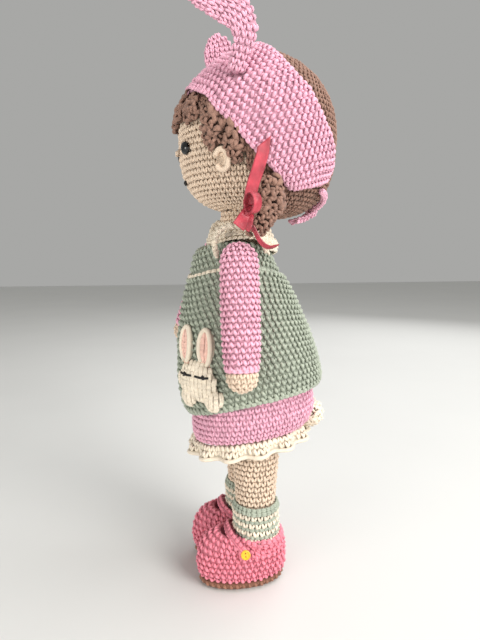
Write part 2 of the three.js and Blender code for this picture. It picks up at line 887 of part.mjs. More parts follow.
// A cloth shell between its outer rings and the same rings drawn in by the cloth's thickness.
function clothShell(outer, inner) {
  return loft([...outer, ...inner.reverse()], true);
}

const shoulderLevel = (side) => torsoLevel(side > 0 ? arm.leftShare : arm.rightShare);
const shoulder = (side, out) => new THREE.Vector3(side * out, arm.jointBack, shoulderLevel(side));

function torsoForm(grown = 0) {
  const lowAt = () => torsoBottom - grown;
  const topAt = () => neckTop + grown;
  let made = loft(garmentRings(20, torsoShares, torso, lowAt, topAt, -grown));
  for (const [, side] of sides) {
    made = made.add(solid(bar(shoulder(side, 0), shoulder(side, boss.reach + grown), boss.radius + grown, 20)));
  }
  return made;
}

function makeTorso() {
  let made = torsoForm().subtract(headForm(head.neckClearance));
  for (const [, side] of sides) {
    const start = shoulder(side, shoulderYarn.from - gap);
    const end = shoulder(side, boss.reach + overrun);
    made = made.subtract(solid(bar(start, end, shoulderYarn.radius + gap, 12)));
  }
  return made;
}

const hemAt = (turn) => torsoBottom + around(turn, pinafore.hemFront, pinafore.hemSide, pinafore.hemBack);
const necklineAt = (turn) =>
  torsoLevel(around(turn, pinafore.frontTopShare, pinafore.sideTopShare, pinafore.backTopShare));

function pinaforeRings(inset) {
  return garmentRings(24, pinaforeShares, pinafore, hemAt, necklineAt, inset);
}

function makePinafore() {
  let made = clothShell(pinaforeRings(0), pinaforeRings(pinafore.cloth));
  for (const [, side] of sides) {
    const hole = bar(shoulder(side, 0), shoulder(side, arm.jointX), boss.radius + 2 * gap, 20);
    made = made.subtract(solid(hole));
  }
  return made.subtract(torsoForm(gap));
}

const skirtLowAt = (turn) => torsoBottom + around(turn, skirt.lowFront, skirt.lowSide, skirt.lowBack);
const skirtTopAt = () => torsoLevel(skirt.topShare);

function makeSkirt() {
  const rings = (inset) => garmentRings(24, skirtShares, skirt, skirtLowAt, skirtTopAt, inset);
  return clothShell(rings(0), rings(skirt.cloth)).subtract(torsoForm(gap));
}

function makeRuffle() {
  const lowAt = (turn) => skirtLowAt(turn) - around(turn, ruffle.dropFront, ruffle.dropSide, ruffle.dropBack);
  const topAt = (turn) => skirtLowAt(turn) - gap;
  const wave = (turn, up) => (1 - up) * ruffle.foldDepth * Math.sin(ruffle.folds * turn);
  const count = ruffle.folds * 4;
  const rings = (inset) => garmentRings(count, ruffleShares, ruffle, lowAt, topAt, inset, wave);
  return clothShell(rings(0), rings(ruffle.cloth));
}

// The collar lies on the shoulders: each ring is a share of the way from the neck to the rim.
function makeCollar() {
  const neckRadius = collar.neck + gap;
  const rings = (drop) =>
    collarShares.map(([out, up]) => {
      const front = -collar.neckBack + neckRadius;
      const back = collar.neckBack + neckRadius;
      const level = (turn) => {
        const rim = around(turn, collar.frontRimShare, collar.sideRimShare, collar.backRimShare);
        return torsoLevel(rim + (collar.neckShare - rim) * up) - drop;
      };
      const wave = (turn) => out * out * collar.foldDepth * Math.cos(collar.folds * turn);
      return oval(
        collar.folds * 4,
        front + (collar.front - front) * out,
        neckRadius + (collar.side - neckRadius) * out,
        back + (collar.back - back) * out,
        level,
        0,
        wave,
      );
    });
  return clothShell(rings(0), rings(collar.cloth)).subtract(torsoForm(gap));
}

// A limb from its table of shares, hanging from the joint before it leans.
function armForm(shares, radius) {
  const count = 16;
  return shares.map(([down, share]) =>
    Array.from({ length: count }, (_, i) => {
      const turn = (i / count) * whole;
      const r = share * radius;
      return new THREE.Vector3(r * Math.cos(turn), r * Math.sin(turn), -down * arm.length);
    }),
  );
}

function armRings(side, swingDegrees, shares, radius) {
  const leaning = new THREE.Matrix4().makeRotationY(-side * radians(arm.leanDegrees));
  const swinging = new THREE.Matrix4().makeRotationX(-radians(swingDegrees));
  return armForm(shares, radius).map((ring) =>
    ring.map((point) => point.applyMatrix4(leaning).applyMatrix4(swinging).add(shoulder(side, arm.jointX))),
  );
}

function makeHand(side, swingDegrees) {
  return loft(armRings(side, swingDegrees, handShares, arm.handRadius));
}

function makeArm(side, swingDegrees) {
  const rings = armRings(side, swingDegrees, armShares, arm.radius);
  const stub = bar(shoulder(side, boss.reach + gap), shoulder(side, arm.jointX), boss.radius, 20);
  const bore = bar(shoulder(side, 0), shoulder(side, shoulderYarn.to + gap), shoulderYarn.radius + gap, 12);
  return loft(rings).add(solid(stub)).subtract(solid(bore));
}

function makeShoulderYarn(side) {
  return solid(bar(shoulder(side, shoulderYarn.from), shoulder(side, shoulderYarn.to), shoulderYarn.radius, 8));
}

function legForm(side, grown = 0) {
  const rings = legShares.map(([up, thick, end]) => {
    const wide = (leg.ankle + (leg.thigh - leg.ankle) * thick) * end + grown;
    const deep = (leg.ankle + (leg.thighDepth - leg.ankle) * thick) * end + grown;
    const level = leg.bottom + (leg.top - leg.bottom) * up;
    return oval(18, deep, wide, deep, () => level, side * (leg.footX + (leg.hipX - leg.footX) * up));
  });
  return loft(rings);
}

function makeLeg(side) {
  return legForm(side).subtract(torsoForm(gap));
}

// The sock's outer form. Its heel reaches back, its instep forward under the shoe's strap.
function sockForm(side, grown = 0) {
  const radius = leg.ankle + sock.wall + gap;
  const rows = [
    [sock.bottom, radius, radius, sock.heelBack],
    [(sock.bottom * 3 + sock.top) / 4, radius, radius, (sock.heelBack + radius) / 2],
    [sock.top - sock.lipHeight * 2, radius, radius, radius],
    [sock.top - sock.lipHeight, radius + sock.lip / 2, radius + sock.lip / 2, radius + sock.lip / 2],
    [sock.top - sock.lipHeight / 2, radius + sock.lip, radius + sock.lip, radius + sock.lip],
    [sock.top, radius + sock.lip / 2, radius + sock.lip / 2, radius + sock.lip / 2],
  ];
  const rings = rows.map(([level, front, wide, back]) =>
    oval(18, front + grown, wide + grown, back + grown, () => level, side * leg.footX),
  );
  const place = new THREE.Vector3(side * leg.footX, -sock.instepFront, sock.bottom);
  const instep = new THREE.SphereGeometry(1, 12, 8);
  instep.scale(sock.instep + grown, sock.instep + grown, sock.instep + grown);
  instep.translate(place.x, place.y, place.z);
  return loft(rings).add(solid(instep));
}

function makeSock(side) {
  return sockForm(side).subtract(legForm(side, gap));
}

function makeShoe(side) {
  const bottom = sole.thickness + gap;
  const rings = shoeShares.map(([up, front, wide, back]) =>
    oval(
      22,
      front * shoe.toe,
      wide * shoe.halfWidth,
      back * shoe.heel,
      () => bottom + (shoe.height - bottom) * up,
      side * leg.footX,
    ),
  );
  const high = shoe.height + overrun;
  const above = sidePrism([
    [overrun, shoeTop.heel],
    [shoe.heel / 2, shoeTop.side],
    [-shoe.throatFront / 2, shoeTop.side],
    [-shoe.throatFront, shoeTop.throat],
    [-shoe.throatFront - shoe.throat / 2, high],
    [overrun, high],
  ]);
  const throat = new THREE.CylinderGeometry(1, 1, overrun, 14).rotateX(Math.PI / 2);
  throat.scale(shoe.throat, shoe.throat * 0.9, 1);
  throat.translate(side * leg.footX, -shoe.throatFront - shoe.throat * 0.4, shoeTop.side + overrun / 2);
  return loft(rings)
    .subtract(above)
    .subtract(solid(throat))
    .subtract(sockForm(side, gap))
    .subtract(legForm(side, gap));
}

function makeSole(side) {
  const inset = sole.edge;
  const rows = [
    [0, inset],
    [sole.thickness * 0.3, inset * 0.3],
    [sole.thickness * 0.7, 0],
    [sole.thickness, 0],
  ];
  return loft(
    rows.map(([level, drawn]) =>
      oval(22, sole.toe - drawn, sole.halfWidth - drawn, sole.heel - drawn, () => level, side * leg.footX),
    ),
  );
}

// The strap goes over the instep from one side of the shoe to the other, under the button.
function strapForm(side, grown = 0) {
  const points = strapShares.map(([across, rise]) => {
    const low = across < 0 ? strap.inLow : strap.low;
    const reach = across < 0 ? strap.in : strap.out;
    return new THREE.Vector3(
      side * (leg.footX + across * reach),
      -(strap.back + (strap.front - strap.back) * rise),
      low + (strap.high - low) * rise,
    );
  });
  return strip(points, () => new THREE.Vector3(0, -1, 0.35), strap.width + 2 * grown, strap.thickness + 2 * grown);
}

function makeStrap(side) {
  return strapForm(side).subtract(shoeForm(side)).subtract(sockForm(side, gap)).subtract(legForm(side, gap));
}

// The shoe's closed outer form with the gap round it, which the strap and button sit on.
function shoeForm(side) {
  const bottom = sole.thickness + gap;
  const rings = shoeShares.map(([up, front, wide, back]) =>
    oval(
      22,
      front * shoe.toe + gap,
      wide * shoe.halfWidth + gap,
      back * shoe.heel + gap,
      () => bottom + (shoe.height - bottom) * up,
      side * leg.footX,
    ),
  );
  const high = shoe.height + overrun;
  const above = sidePrism([
    [overrun, shoeTop.heel + gap],
    [shoe.heel / 2, shoeTop.side + gap],
    [-shoe.throatFront / 2, shoeTop.side + gap],
    [-shoe.throatFront, shoeTop.throat + gap],
    [-shoe.throatFront - shoe.throat / 2, high],
    [overrun, high],
  ]);
  return loft(rings).subtract(above);
}

function makeButton(side) {
  const r = button.radius;
  const t = button.thickness;
  const profile = [
    [0, 0],
    [r * 0.9, 0],
    [r, t * 0.35],
    [r, t * 0.8],
    [r - button.rim / 2, t],
    [r - button.rim, t],
    [r - button.rim * 1.5, t * 0.72],
    [0, t * 0.72],
  ];
  const disc = turned(profile, 16);
  let made = solid(disc);
  for (const end of [-1, 1]) {
    const low = new THREE.Vector3((end * button.holeSpacing) / 2, 0, -t);
    const high = new THREE.Vector3((end * button.holeSpacing) / 2, 0, 2 * t);
    made = made.subtract(solid(bar(low, high, button.hole, 6)));
  }
  const facing = new THREE.Quaternion().setFromUnitVectors(
    new THREE.Vector3(0, 0, 1),
    new THREE.Vector3(side * 0.97, -0.12, 0.2).normalize(),
  );
  const out = strap.out + strap.thickness / 2 + button.standOff;
  const geometry = geometryOf(made).applyQuaternion(facing);
  geometry.translate(side * (leg.footX + out), -button.front, button.height);
  return solid(geometry).subtract(strapForm(side, gap));
}

// A point on the pinafore at a turn from the front and a height, and the direction away from it.
function onPinafore(turn, level) {
  const up = THREE.MathUtils.clamp((level - hemAt(turn)) / (necklineAt(turn) - hemAt(turn)), 0, 1);
  const row = Math.max(pinaforeShares.findIndex(([share]) => share >= up), 1);
  const [below, above] = [pinaforeShares[row - 1], pinaforeShares[row]];
  const part = (up - below[0]) / (above[0] - below[0]);
  const mix = (k) => below[k] + (above[k] - below[k]) * part;
  const front = mix(1) * pinafore.front;
  const side = mix(2) * pinafore.side;
  const back = mix(3) * pinafore.back;
  const reach = (back + front) / 2;
  return new THREE.Vector3(side * Math.sin(turn), (back - front) / 2 - reach * Math.cos(turn), level);
}

function awayFromPinafore(turn, level) {
  const step = radians(1);
  const along = onPinafore(turn + step, level).sub(onPinafore(turn - step, level));
  const up = onPinafore(turn, level + pinafore.cloth).sub(onPinafore(turn, level - pinafore.cloth));
  return new THREE.Vector3().crossVectors(along, up).normalize();
}

const clearOfPinafore = loft(pinaforeRings(-gap));

// One piece of the bunny on the pinafore, placed across and above the bunny's middle.
function makePatchPiece(across, up, halfWidth, halfHeight, proud, roll = 0) {
  const middle = radians(patch.turnDegrees);
  const turn = middle + across / pinafore.side;
  const level = hemAt(middle) + patch.aboveHem + up;
  const made = pad(onPinafore(turn, level), awayFromPinafore(turn, level), halfWidth, halfHeight, proud, roll, 14, 8);
  return solid(made);
}

function makePompom() {
  const geometry = new THREE.SphereGeometry(pompom.radius, 16, 10);
  const place = geometry.getAttribute("position");
  const point = new THREE.Vector3();
  for (let i = 0; i < place.count; i += 1) {
    point.fromBufferAttribute(place, i);
    const turn = Math.atan2(point.y, point.x);
    const rise = Math.asin(THREE.MathUtils.clamp(point.z / pompom.radius, -1, 1));
    const lump = Math.cos(5 * turn) * Math.cos(3 * rise) * Math.cos(rise) ** 2;
    point.multiplyScalar(1 + (pompom.lump / pompom.radius) * lump);
    place.setXYZ(i, point.x, point.y, point.z);
  }
  geometry.translate(0, pompom.back, torsoBottom + pompom.above);
  const skirtForm = loft(garmentRings(24, skirtShares, skirt, skirtLowAt, skirtTopAt, -gap));
  return solid(geometry).subtract(skirtForm).subtract(clearOfPinafore);
}

// Colours and finishes.
const finishes = {
  skin: { color: 0xe8cdb2, roughness: 0.9 },
  hairYarn: { color: 0xa5826f, roughness: 0.9 },
  rose: { color: 0xe6a5be, roughness: 0.9 },
  sage: { color: 0x96aa96, roughness: 0.9 },
  cream: { color: 0xeee4d2, roughness: 0.9 },
  coral: { color: 0xe16e82, roughness: 0.9 },
  tan: { color: 0xb99178, roughness: 0.9 },
  satin: { color: 0xe15f6e, roughness: 0.35 },
  buttonYellow: { color: 0xf0be3c, roughness: 0.35 },
  black: { color: 0x101010, roughness: 0.1 },
  thread: { color: 0x181616, roughness: 0.8 },
  clearPlastic: { color: 0xd8dcdc, roughness: 0.4 },
};

const doll = new THREE.Group();

function addPiece(name, made, finish) {
  const material = new THREE.MeshStandardMaterial({ ...finishes[finish], metalness: 0 });
  const mesh = new THREE.Mesh(geometryOf(made), material);
  mesh.name = name;
  doll.add(mesh);
  return made;
}

addPiece("head", makeHead(), "skin");
addPiece("hair_cap", makeHairCap(), "hairYarn");
addPiece("bonnet", makeBonnet(), "rose");
addPiece("nose", makeNose(), "skin");
addPiece("mouth_stitch", makeMouth(), "thread");
addPiece("torso", makeTorso(), "skin");
addPiece("pinafore", makePinafore(), "sage");
addPiece("skirt", makeSkirt(), "rose");
addPiece("skirt_ruffle", makeRuffle(), "cream");
addPiece("collar", makeCollar(), "cream");
addPiece("tail_pompom", makePompom(), "cream");
addPiece("bonnet_tie_knot", makeTieKnot().subtract(clearOfHair).subtract(torsoForm(gap)), "rose");

const clearOfHairdo = clearOfHead.add(clearOfHair).add(clearOfBonnet);
for (const [name, side] of sides) {
  addPiece(`eye_${name}`, makeEye(side), "black");
  addPiece(`eye_washer_${name}`, makeWasher(side), "clearPlastic");
  const dollEarMade = addPiece(`doll_ear_${name}`, makeDollEar(side), "skin");
  let placed = clearOfHairdo;
  lockShares.forEach((row, i) => {
    const made = makeLock(side, row).subtract(placed).subtract(dollEarMade);
    addPiece(`fringe_lock_${name}_${i + 1}`, made, "hairYarn");
    placed = placed.add(makeLock(side, row, gap));
  });
  addPiece(`pigtail_${name}`, makePigtail(side).subtract(pigtailKeepOut(side)), "hairYarn");
  addPiece(`ribbon_bow_${name}`, makeBow(side).subtract(pigtailKeepOut(side)).subtract(makePigtail(side, gap)), "satin");
  addPiece(`bonnet_tie_${name}`, makeTie(side), "rose");
  addPiece(`bonnet_ear_${name}`, makeBunnyEar(side, side > 0 ? leftEarShares : rightEarShares), "rose");
  addPiece(`arm_${name}`, makeArm(side, side > 0 ? 0 : arm.rightSwingDegrees), "rose");
  addPiece(`hand_${name}`, makeHand(side, side > 0 ? 0 : arm.rightSwingDegrees), "skin");
  addPiece(`shoulder_yarn_${name}`, makeShoulderYarn(side), "cream");
  addPiece(`leg_${name}`, makeLeg(side), "skin");
  addPiece(`sock_${name}`, makeSock(side), "cream");
  addPiece(`shoe_${name}`, makeShoe(side), "coral");
  addPiece(`sole_${name}`, makeSole(side), "tan");
  addPiece(`shoe_strap_${name}`, makeStrap(side), "coral");
  addPiece(`shoe_button_${name}`, makeButton(side), "buttonYellow");
}

// The bunny worked onto the pinafore, its nearer parts first.
const bunnyHead = makePatchPiece(0, 0, patch.halfWidth, patch.halfHeight, patch.proud);
const bunnyPaws = sides.map(([name, side]) => {
  const across = side * patch.halfWidth * patch.pawSpreadShare;
  const made = makePatchPiece(across, -patch.pawDrop, patch.paw, patch.pawHeight, patch.proud * 1.5);
  return addPiece(`bunny_paw_${name}`, made.subtract(clearOfPinafore), "cream");
});
const bunnyEars = sides.map(([name, side]) => {
  const across = side * patch.halfWidth * patch.earSpreadShare;
  const lift = patch.halfHeight + patch.earLength / 2 - patch.earSink;
  const made = makePatchPiece(across, lift, patch.earHalfWidth, patch.earLength / 2, patch.proud * 0.8);
  const headGrown = makePatchPiece(0, 0, patch.halfWidth + gap, patch.halfHeight + gap, patch.proud + gap);
  return addPiece(`bunny_ear_${name}`, made.subtract(headGrown.add(clearOfPinafore)), "cream");
});
const pawsGrown = sides.map(([, side]) => {
  const across = side * patch.halfWidth * patch.pawSpreadShare;
  return makePatchPiece(across, -patch.pawDrop, patch.paw + gap, patch.pawHeight + gap, patch.proud * 1.5 + gap);
});
const clearOfPaws = pawsGrown.reduce((all, paw) => all.add(paw), clearOfPinafore);
addPiece("bunny_head", bunnyHead.subtract(clearOfPaws), "cream");

const box = new THREE.Box3().setFromObject(doll);
const middle = box.getCenter(new THREE.Vector3());
doll.position.set(-middle.x, -middle.y, -box.min.z);

export default doll;
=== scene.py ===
"""A crocheted doll in a bunny bonnet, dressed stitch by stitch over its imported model."""

import math
from functools import cache

import bmesh
import bpy
import numpy as np
from bpy.props import FloatProperty, FloatVectorProperty, PointerProperty
from mathutils import Matrix, Vector
from mathutils.bvhtree import BVHTree


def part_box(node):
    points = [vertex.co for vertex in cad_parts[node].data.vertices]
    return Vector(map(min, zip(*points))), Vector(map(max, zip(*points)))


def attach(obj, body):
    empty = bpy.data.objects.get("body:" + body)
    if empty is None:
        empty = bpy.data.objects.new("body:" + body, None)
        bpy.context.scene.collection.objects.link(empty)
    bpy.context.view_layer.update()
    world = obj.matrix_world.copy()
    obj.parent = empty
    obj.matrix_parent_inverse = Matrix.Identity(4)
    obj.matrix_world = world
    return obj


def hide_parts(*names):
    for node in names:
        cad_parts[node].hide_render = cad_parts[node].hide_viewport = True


bl_info = {
    "name": "Crocheted Doll",
    "version": (1, 0, 0),
    "blender": (4, 5, 0),
    "location": "3D View > Sidebar > Doll",
    "description": "Dresses a doll's solids in yarn, satin, thread and buttons",
    "category": "Object",
}

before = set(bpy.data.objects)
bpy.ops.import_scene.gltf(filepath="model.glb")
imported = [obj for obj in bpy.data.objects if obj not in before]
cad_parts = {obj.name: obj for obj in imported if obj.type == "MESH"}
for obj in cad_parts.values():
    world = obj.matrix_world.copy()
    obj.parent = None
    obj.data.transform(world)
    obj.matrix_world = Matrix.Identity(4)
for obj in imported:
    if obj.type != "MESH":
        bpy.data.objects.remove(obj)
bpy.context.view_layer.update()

# The Y of the doll's own middle line, which is a little off the middle of the model's box.
MIDDLE = -0.000892
SIDES = (("left", 1), ("right", -1))


def mm(x, y, z, side=1):
    """A point in millimetres about the doll's middle line, in the frame's metres, on one side."""
    return Vector((side * x / 1000, y / 1000 + MIDDLE, z / 1000))


HEAD_CENTRE = mm(0, 1.5, 296)
# In millimetres: where each bonnet ear is sewn on, how far out each foot stands, and where the middle of its
# shoe lies along the foot.
EAR_ROOT = (45.12, -17.65, 322.14)
FOOT = 17.2
SHOE_MIDDLE = -10.5
# Each arm's length from its shoulder, and how far it hangs away from the body.
ARM_LENGTH = 0.0765
ARM_SPLAY = math.radians(9.1)
# The length of a chain stitch along an edge.
CHAIN_PITCH = 0.0036


# Settings


def length(label, words, default):
    return FloatProperty(name=label, description=words, default=default, min=0, subtype="DISTANCE", unit="LENGTH")


def colour(label, words, default):
    return FloatVectorProperty(
        name=label, description=words, default=default, size=3, min=0, max=1, subtype="COLOR_GAMMA")


class YarnSettings(bpy.types.PropertyGroup):
    """The yarns' colours and the size of the stitches."""

    stitch_width: length("Stitch width", "Width of a single crochet stitch", 0.0041)
    row_height: length("Row height", "Height of a row of single crochet", 0.0037)
    skin: colour("Skin", "Yarn of the face, neck, hands and legs", (0.905, 0.815, 0.725))
    hair: colour("Hair", "Yarn of the hair, fringe and pigtails", (0.555, 0.42, 0.36))
    rose: colour("Rose", "Yarn of the bonnet and skirt", (0.905, 0.68, 0.76))
    sleeve: colour("Sleeve", "Yarn of the sleeves", (0.94, 0.70, 0.78))
    sage: colour("Sage", "Yarn of the pinafore", (0.66, 0.69, 0.625))
    cream: colour("Cream", "Yarn of the collar, ruffle, tail and bunny", (0.925, 0.875, 0.795))
    coral: colour("Coral", "Yarn of the shoes", (0.92, 0.54, 0.61))
    tan: colour("Tan", "Yarn of the soles", (0.59, 0.41, 0.325))
    blush: colour("Blush", "Yarn of the bunny's inner ears", (0.93, 0.76, 0.70))


class TrimSettings(bpy.types.PropertyGroup):
    """The ribbons, ties and other trim."""

    ribbon_width: length("Ribbon width", "Width of the satin ribbon", 0.0072)
    ribbon_thickness: length("Ribbon thickness", "Thickness of the satin ribbon", 0.0005)
    satin: colour("Satin", "Satin ribbon round the pigtails", (0.70, 0.235, 0.29))
    button: colour("Button", "Buttons of the shoe straps", (0.97, 0.74, 0.18))
    thread: colour("Thread", "Embroidery thread of mouth and lashes", (0.06, 0.05, 0.05))
    tie_diameter: length("Tie diameter", "Diameter of the bonnet's crocheted ties", 0.003)


class StageSettings(bpy.types.PropertyGroup):
    """The floor, the backdrop and the camera's place."""

    floor: colour("Floor", "Floor and backdrop", (0.86, 0.86, 0.85))
    distance: length("Camera distance", "Level distance from the doll's middle line to the camera", 0.33)
    height: length("Camera height", "Height of the camera above the floor", 0.2232)


# Shader maths


class Value:
    """A shader socket on which arithmetic adds Math nodes."""

    def __init__(self, tree, socket):
        self.tree, self.socket = tree, socket

    def reckon(self, operation, *others):
        node = self.tree.nodes.new("ShaderNodeMath")
        node.operation = operation
        for slot, other in zip(node.inputs, (self,) + others):
            if isinstance(other, Value):
                self.tree.links.new(other.socket, slot)
            else:
                slot.default_value = other
        return Value(self.tree, node.outputs[0])

    def __add__(self, other):
        return self.reckon("ADD", other)

    def __sub__(self, other):
        return self.reckon("SUBTRACT", other)

    def __rsub__(self, other):
        return self * -1.0 + other

    def __mul__(self, other):
        return self.reckon("MULTIPLY", other)

    __radd__, __rmul__ = __add__, __mul__

    def wave(self):
        return self.reckon("SINE") * 0.5 + 0.5

    def clamped(self):
        found = self + 0.0
        found.socket.node.use_clamp = True
        return found


class Finish:
    """A material and the nodes that make it."""

    def __init__(self, name, roughness, **shader):
        self.material = bpy.data.materials.new(name)
        self.material.use_nodes = True
        self.tree = self.material.node_tree
        self.shader = self.tree.nodes["Principled BSDF"]
        self.shader.inputs["Roughness"].default_value = roughness
        for socket, number in shader.items():
            self.shader.inputs[socket.replace("_", " ")].default_value = number

    def node(self, kind, settings=(), **sockets):
        """A node. A socket goes by its name, or by its number after an underscore."""
        node = self.tree.nodes.new(kind)
        for key, setting in settings:
            setattr(node, key, setting)
        for key, given in sockets.items():
            slot = node.inputs[int(key[1:]) if key[0] == "_" else key]
            given = getattr(given, "socket", given)
            if isinstance(given, bpy.types.NodeSocket):
                self.tree.links.new(given, slot)
            else:
                slot.default_value = given
        return node

    def noise(self, scale, detail=2.0):
        place = self.node("ShaderNodeTexCoord").outputs["Object"]
        node = self.node("ShaderNodeTexNoise", Vector=place, Scale=scale, Detail=detail)
        return Value(self.tree, node.outputs["Fac"])

    def attribute(self, name):
        return Value(self.tree, self.node("ShaderNodeAttribute", [("attribute_name", name)]).outputs["Fac"])

    def strand(self):
        """How far along its strand a point is, and how far round or across it."""
        place = self.node("ShaderNodeUVMap", [("uv_map", "strand")]).outputs[0]
        parts = self.node("ShaderNodeSeparateXYZ", Vector=place).outputs
        return Value(self.tree, parts[0]), Value(self.tree, parts[1])

    def mix(self, share, first, second):
        return self.node("ShaderNodeMix", [("data_type", "RGBA")], _0=share, _6=first, _7=second).outputs[2]

    def paint(self, socket):
        self.tree.links.new(socket, self.shader.inputs["Base Color"])

    def rough(self, value):
        self.tree.links.new(value.socket, self.shader.inputs["Roughness"])

    def raise_by(self, height, distance, strength):
        bump = self.node("ShaderNodeBump", Height=height, Distance=distance, Strength=strength)
        self.tree.links.new(bump.outputs["Normal"], self.shader.inputs["Normal"])


def linear(rgb, factor=1.0):
    """A screen colour as the shader wants it, made lighter or darker by a factor."""
    parts = [part / 12.92 if part <= 0.04045 else ((part + 0.055) / 1.055) ** 2.4 for part in rgb]
    return tuple(min(part * factor, 1.0) for part in parts) + (1.0,)


def yarn_finish(name, rgb, heather, tones, stitched):
    """Mercerised cotton: two plies wound round each other, darker with painted shade where a stitch dips and along the
    twist's grooves, with fine fibres.
    """
    finish = Finish(name, 0.72, Sheen_Weight=0.12, Sheen_Roughness=0.5)
    along, turn = finish.strand()
    ply = ((along * 2.2 + turn * 2.0) * (2 * math.pi)).wave()
    fibre, patch = finish.noise(1500.0, 3.0), finish.noise(190.0)
    depth = finish.attribute("depth") if stitched else finish.noise(420.0, 1.0) * 0.5 + 0.45
    shade = finish.attribute("shade")
    # Painted light and shade: depth darkens the dips of each stitch, and ply lightens and darkens along the twist;
    # fibre and shade vary the tone at random.
    light = depth * 0.55 + ply * 0.16 + (fibre - 0.5) * 0.3 + shade * 0.16 + 0.26
    tone = finish.mix(light.clamped(), linear(rgb, tones[0]), linear(rgb, tones[1]))
    fleck, dark = (patch - 0.5) * 0.5, 0.72
    if heather:
        fleck, dark = (patch - 0.42) * 3.2 * heather + shade * heather, 0.5
    finish.paint(finish.mix(fleck.clamped(), tone, linear(rgb, dark)))
    finish.rough(0.62 + fibre * 0.3)
    finish.raise_by(ply * 0.7 + fibre * 0.5, 0.00022, 0.9)
    return finish.material


def flecked_finish(name, rgb, roughness, scale, detail, tones, bump=None, rougher=0.0, **shader):
    """A finish of one colour, lighter and darker by a noise that can also roughen and raise it."""
    finish = Finish(name, roughness, **shader)
    fleck = finish.noise(scale, detail)
    finish.paint(finish.mix(fleck, linear(rgb, tones[0]), linear(rgb, tones[1])))
    if rougher:
        finish.rough(roughness + fleck * rougher)
    if bump:
        finish.raise_by(fleck, *bump)
    return finish.material


def thread_finish(name, rgb):
    return flecked_finish(name, rgb, 0.6, 2600.0, 2.0, (0.6, 1.6), (0.0002, 0.8))


def gloss_finish(name, rgb, roughness, bump=None):
    return flecked_finish(name, rgb, roughness, 700.0, 2.0, (0.92, 1.08), bump, 0.08,
                          Coat_Weight=0.4, Coat_Roughness=0.08)


def satin_finish(name, rgb):
    """Satin with fine threads along it, a cloudy sheen painted into its colour, and two woven edges."""
    finish = Finish(name, 0.3, Sheen_Weight=0.12, Sheen_Roughness=0.3)
    across = finish.strand()[1]
    weave = (across * (2 * math.pi * 26)).wave()
    edge = ((across - 0.5).reckon("ABSOLUTE") * 22 - 9.6).clamped()
    # Painted sheen: clouds of lighter and darker colour stand for the satin's reflections.
    painted_sheen = ((finish.noise(120.0) - 0.5) * 3 + 0.5).clamped()
    body = finish.mix(painted_sheen, linear(rgb, 0.72), linear(rgb, 1.3))
    finish.paint(finish.mix(edge, body, linear(rgb, 0.7)))
    finish.rough(0.3 + weave * 0.08)
    finish.raise_by(weave * 0.4 + edge, 0.00012, 0.7)
    return finish.material


@cache
def finish_of(yarn, kind="yarn"):
    """A yarn's finish in stitches, in the ground seen between them, painted darker as the shade there, or in a plain
    cord.
    """
    rgb = tuple(getattr(bpy.context.scene.doll_yarn, yarn))
    # The ground is the yarn painted darker all over: painted shade in the gaps between the stitches.
    if kind == "ground":
        return flecked_finish(f"{yarn}_back_of_stitches_in_painted_shade", rgb, 0.92, 900.0, 3.0, (0.52, 0.88), (0.0006, 0.8))
    heather = {"hair": 0.4, "skin": 0.12}.get(yarn, 0.0)
    # The hair's wider range paints brighter highlights on its stitches and darker shade in their dips.
    tones = (0.45, 1.35) if yarn == "hair" else (0.5, 1.12)
    return yarn_finish(f"{yarn}_{kind}", rgb, heather, tones, kind == "yarn")


# Lines and ways


def unit(vectors):
    size = np.linalg.norm(vectors, axis=-1, keepdims=True)
    return vectors / np.where(size < 1e-12, 1, size)


def squared(vectors, ways):
    """Vectors made square to some ways, one long."""
    return unit(vectors - ways * (vectors * ways).sum(1)[:, None])


def walked(points):
    """How far along a line of points each of them is."""
    return np.concatenate([[0], np.cumsum(np.linalg.norm(np.diff(points, axis=0), axis=1))])


def places_at(runs, walk, points):
    """The places that lie so far along a line of points."""
    return np.stack([np.interp(runs, walk, points[:, k]) for k in range(3)], 1)


def smooth_route(route, each=4):
    """More points along a route, on one smooth curve."""
    points = [Vector(point) for point in route]
    points = [points[0] * 2 - points[1]] + points + [points[-1] * 2 - points[-2]]
    found = []
    for a, b, c, d in zip(points, points[1:], points[2:], points[3:]):
        for t in (step / each for step in range(each)):
            bend = (a * 2 - b * 5 + c * 4 - d) * t * t + (b * 3 - a - c * 3 + d) * t ** 3
            found.append((b * 2 + (c - a) * t + bend) / 2)
    return found + [points[-2]]


def stations(route, pitch, nudge):
    """Even places on a smooth route, with the way along it at each and how far along it they are."""
    points = np.array(smooth_route(route, 8))
    walk = walked(points)
    number = round(walk[-1] / pitch)
    runs = (np.arange(number) + 0.5) / number * walk[-1]
    ahead, behind = places_at(runs + nudge, walk, points), places_at(runs - nudge, walk, points)
    return places_at(runs, walk, points), unit(ahead - behind), runs


def bearing(turn, lift=0.0):
    """The way to a turn from the front, in shares of a whole, at an angle above the level."""
    angle = turn * 2 * math.pi
    return math.sin(angle) * math.cos(lift), -math.cos(angle) * math.cos(lift), math.sin(lift)


def around(turn, front, side, back):
    """A value that runs smoothly round the doll, at a turn from the front in shares of a whole."""
    angle = turn * 2 * math.pi
    ends, tilt = (front + back) / 2, (front - back) / 2
    return (ends + side) / 2 + tilt * math.cos(angle) + (ends - side) / 2 * math.cos(2 * angle)


def globe(centre, low, high):
    """Rays from a centre, from one elevation to another, in degrees."""
    return lambda turn, share: (centre, bearing(turn, math.radians(low + (high - low) * share)))


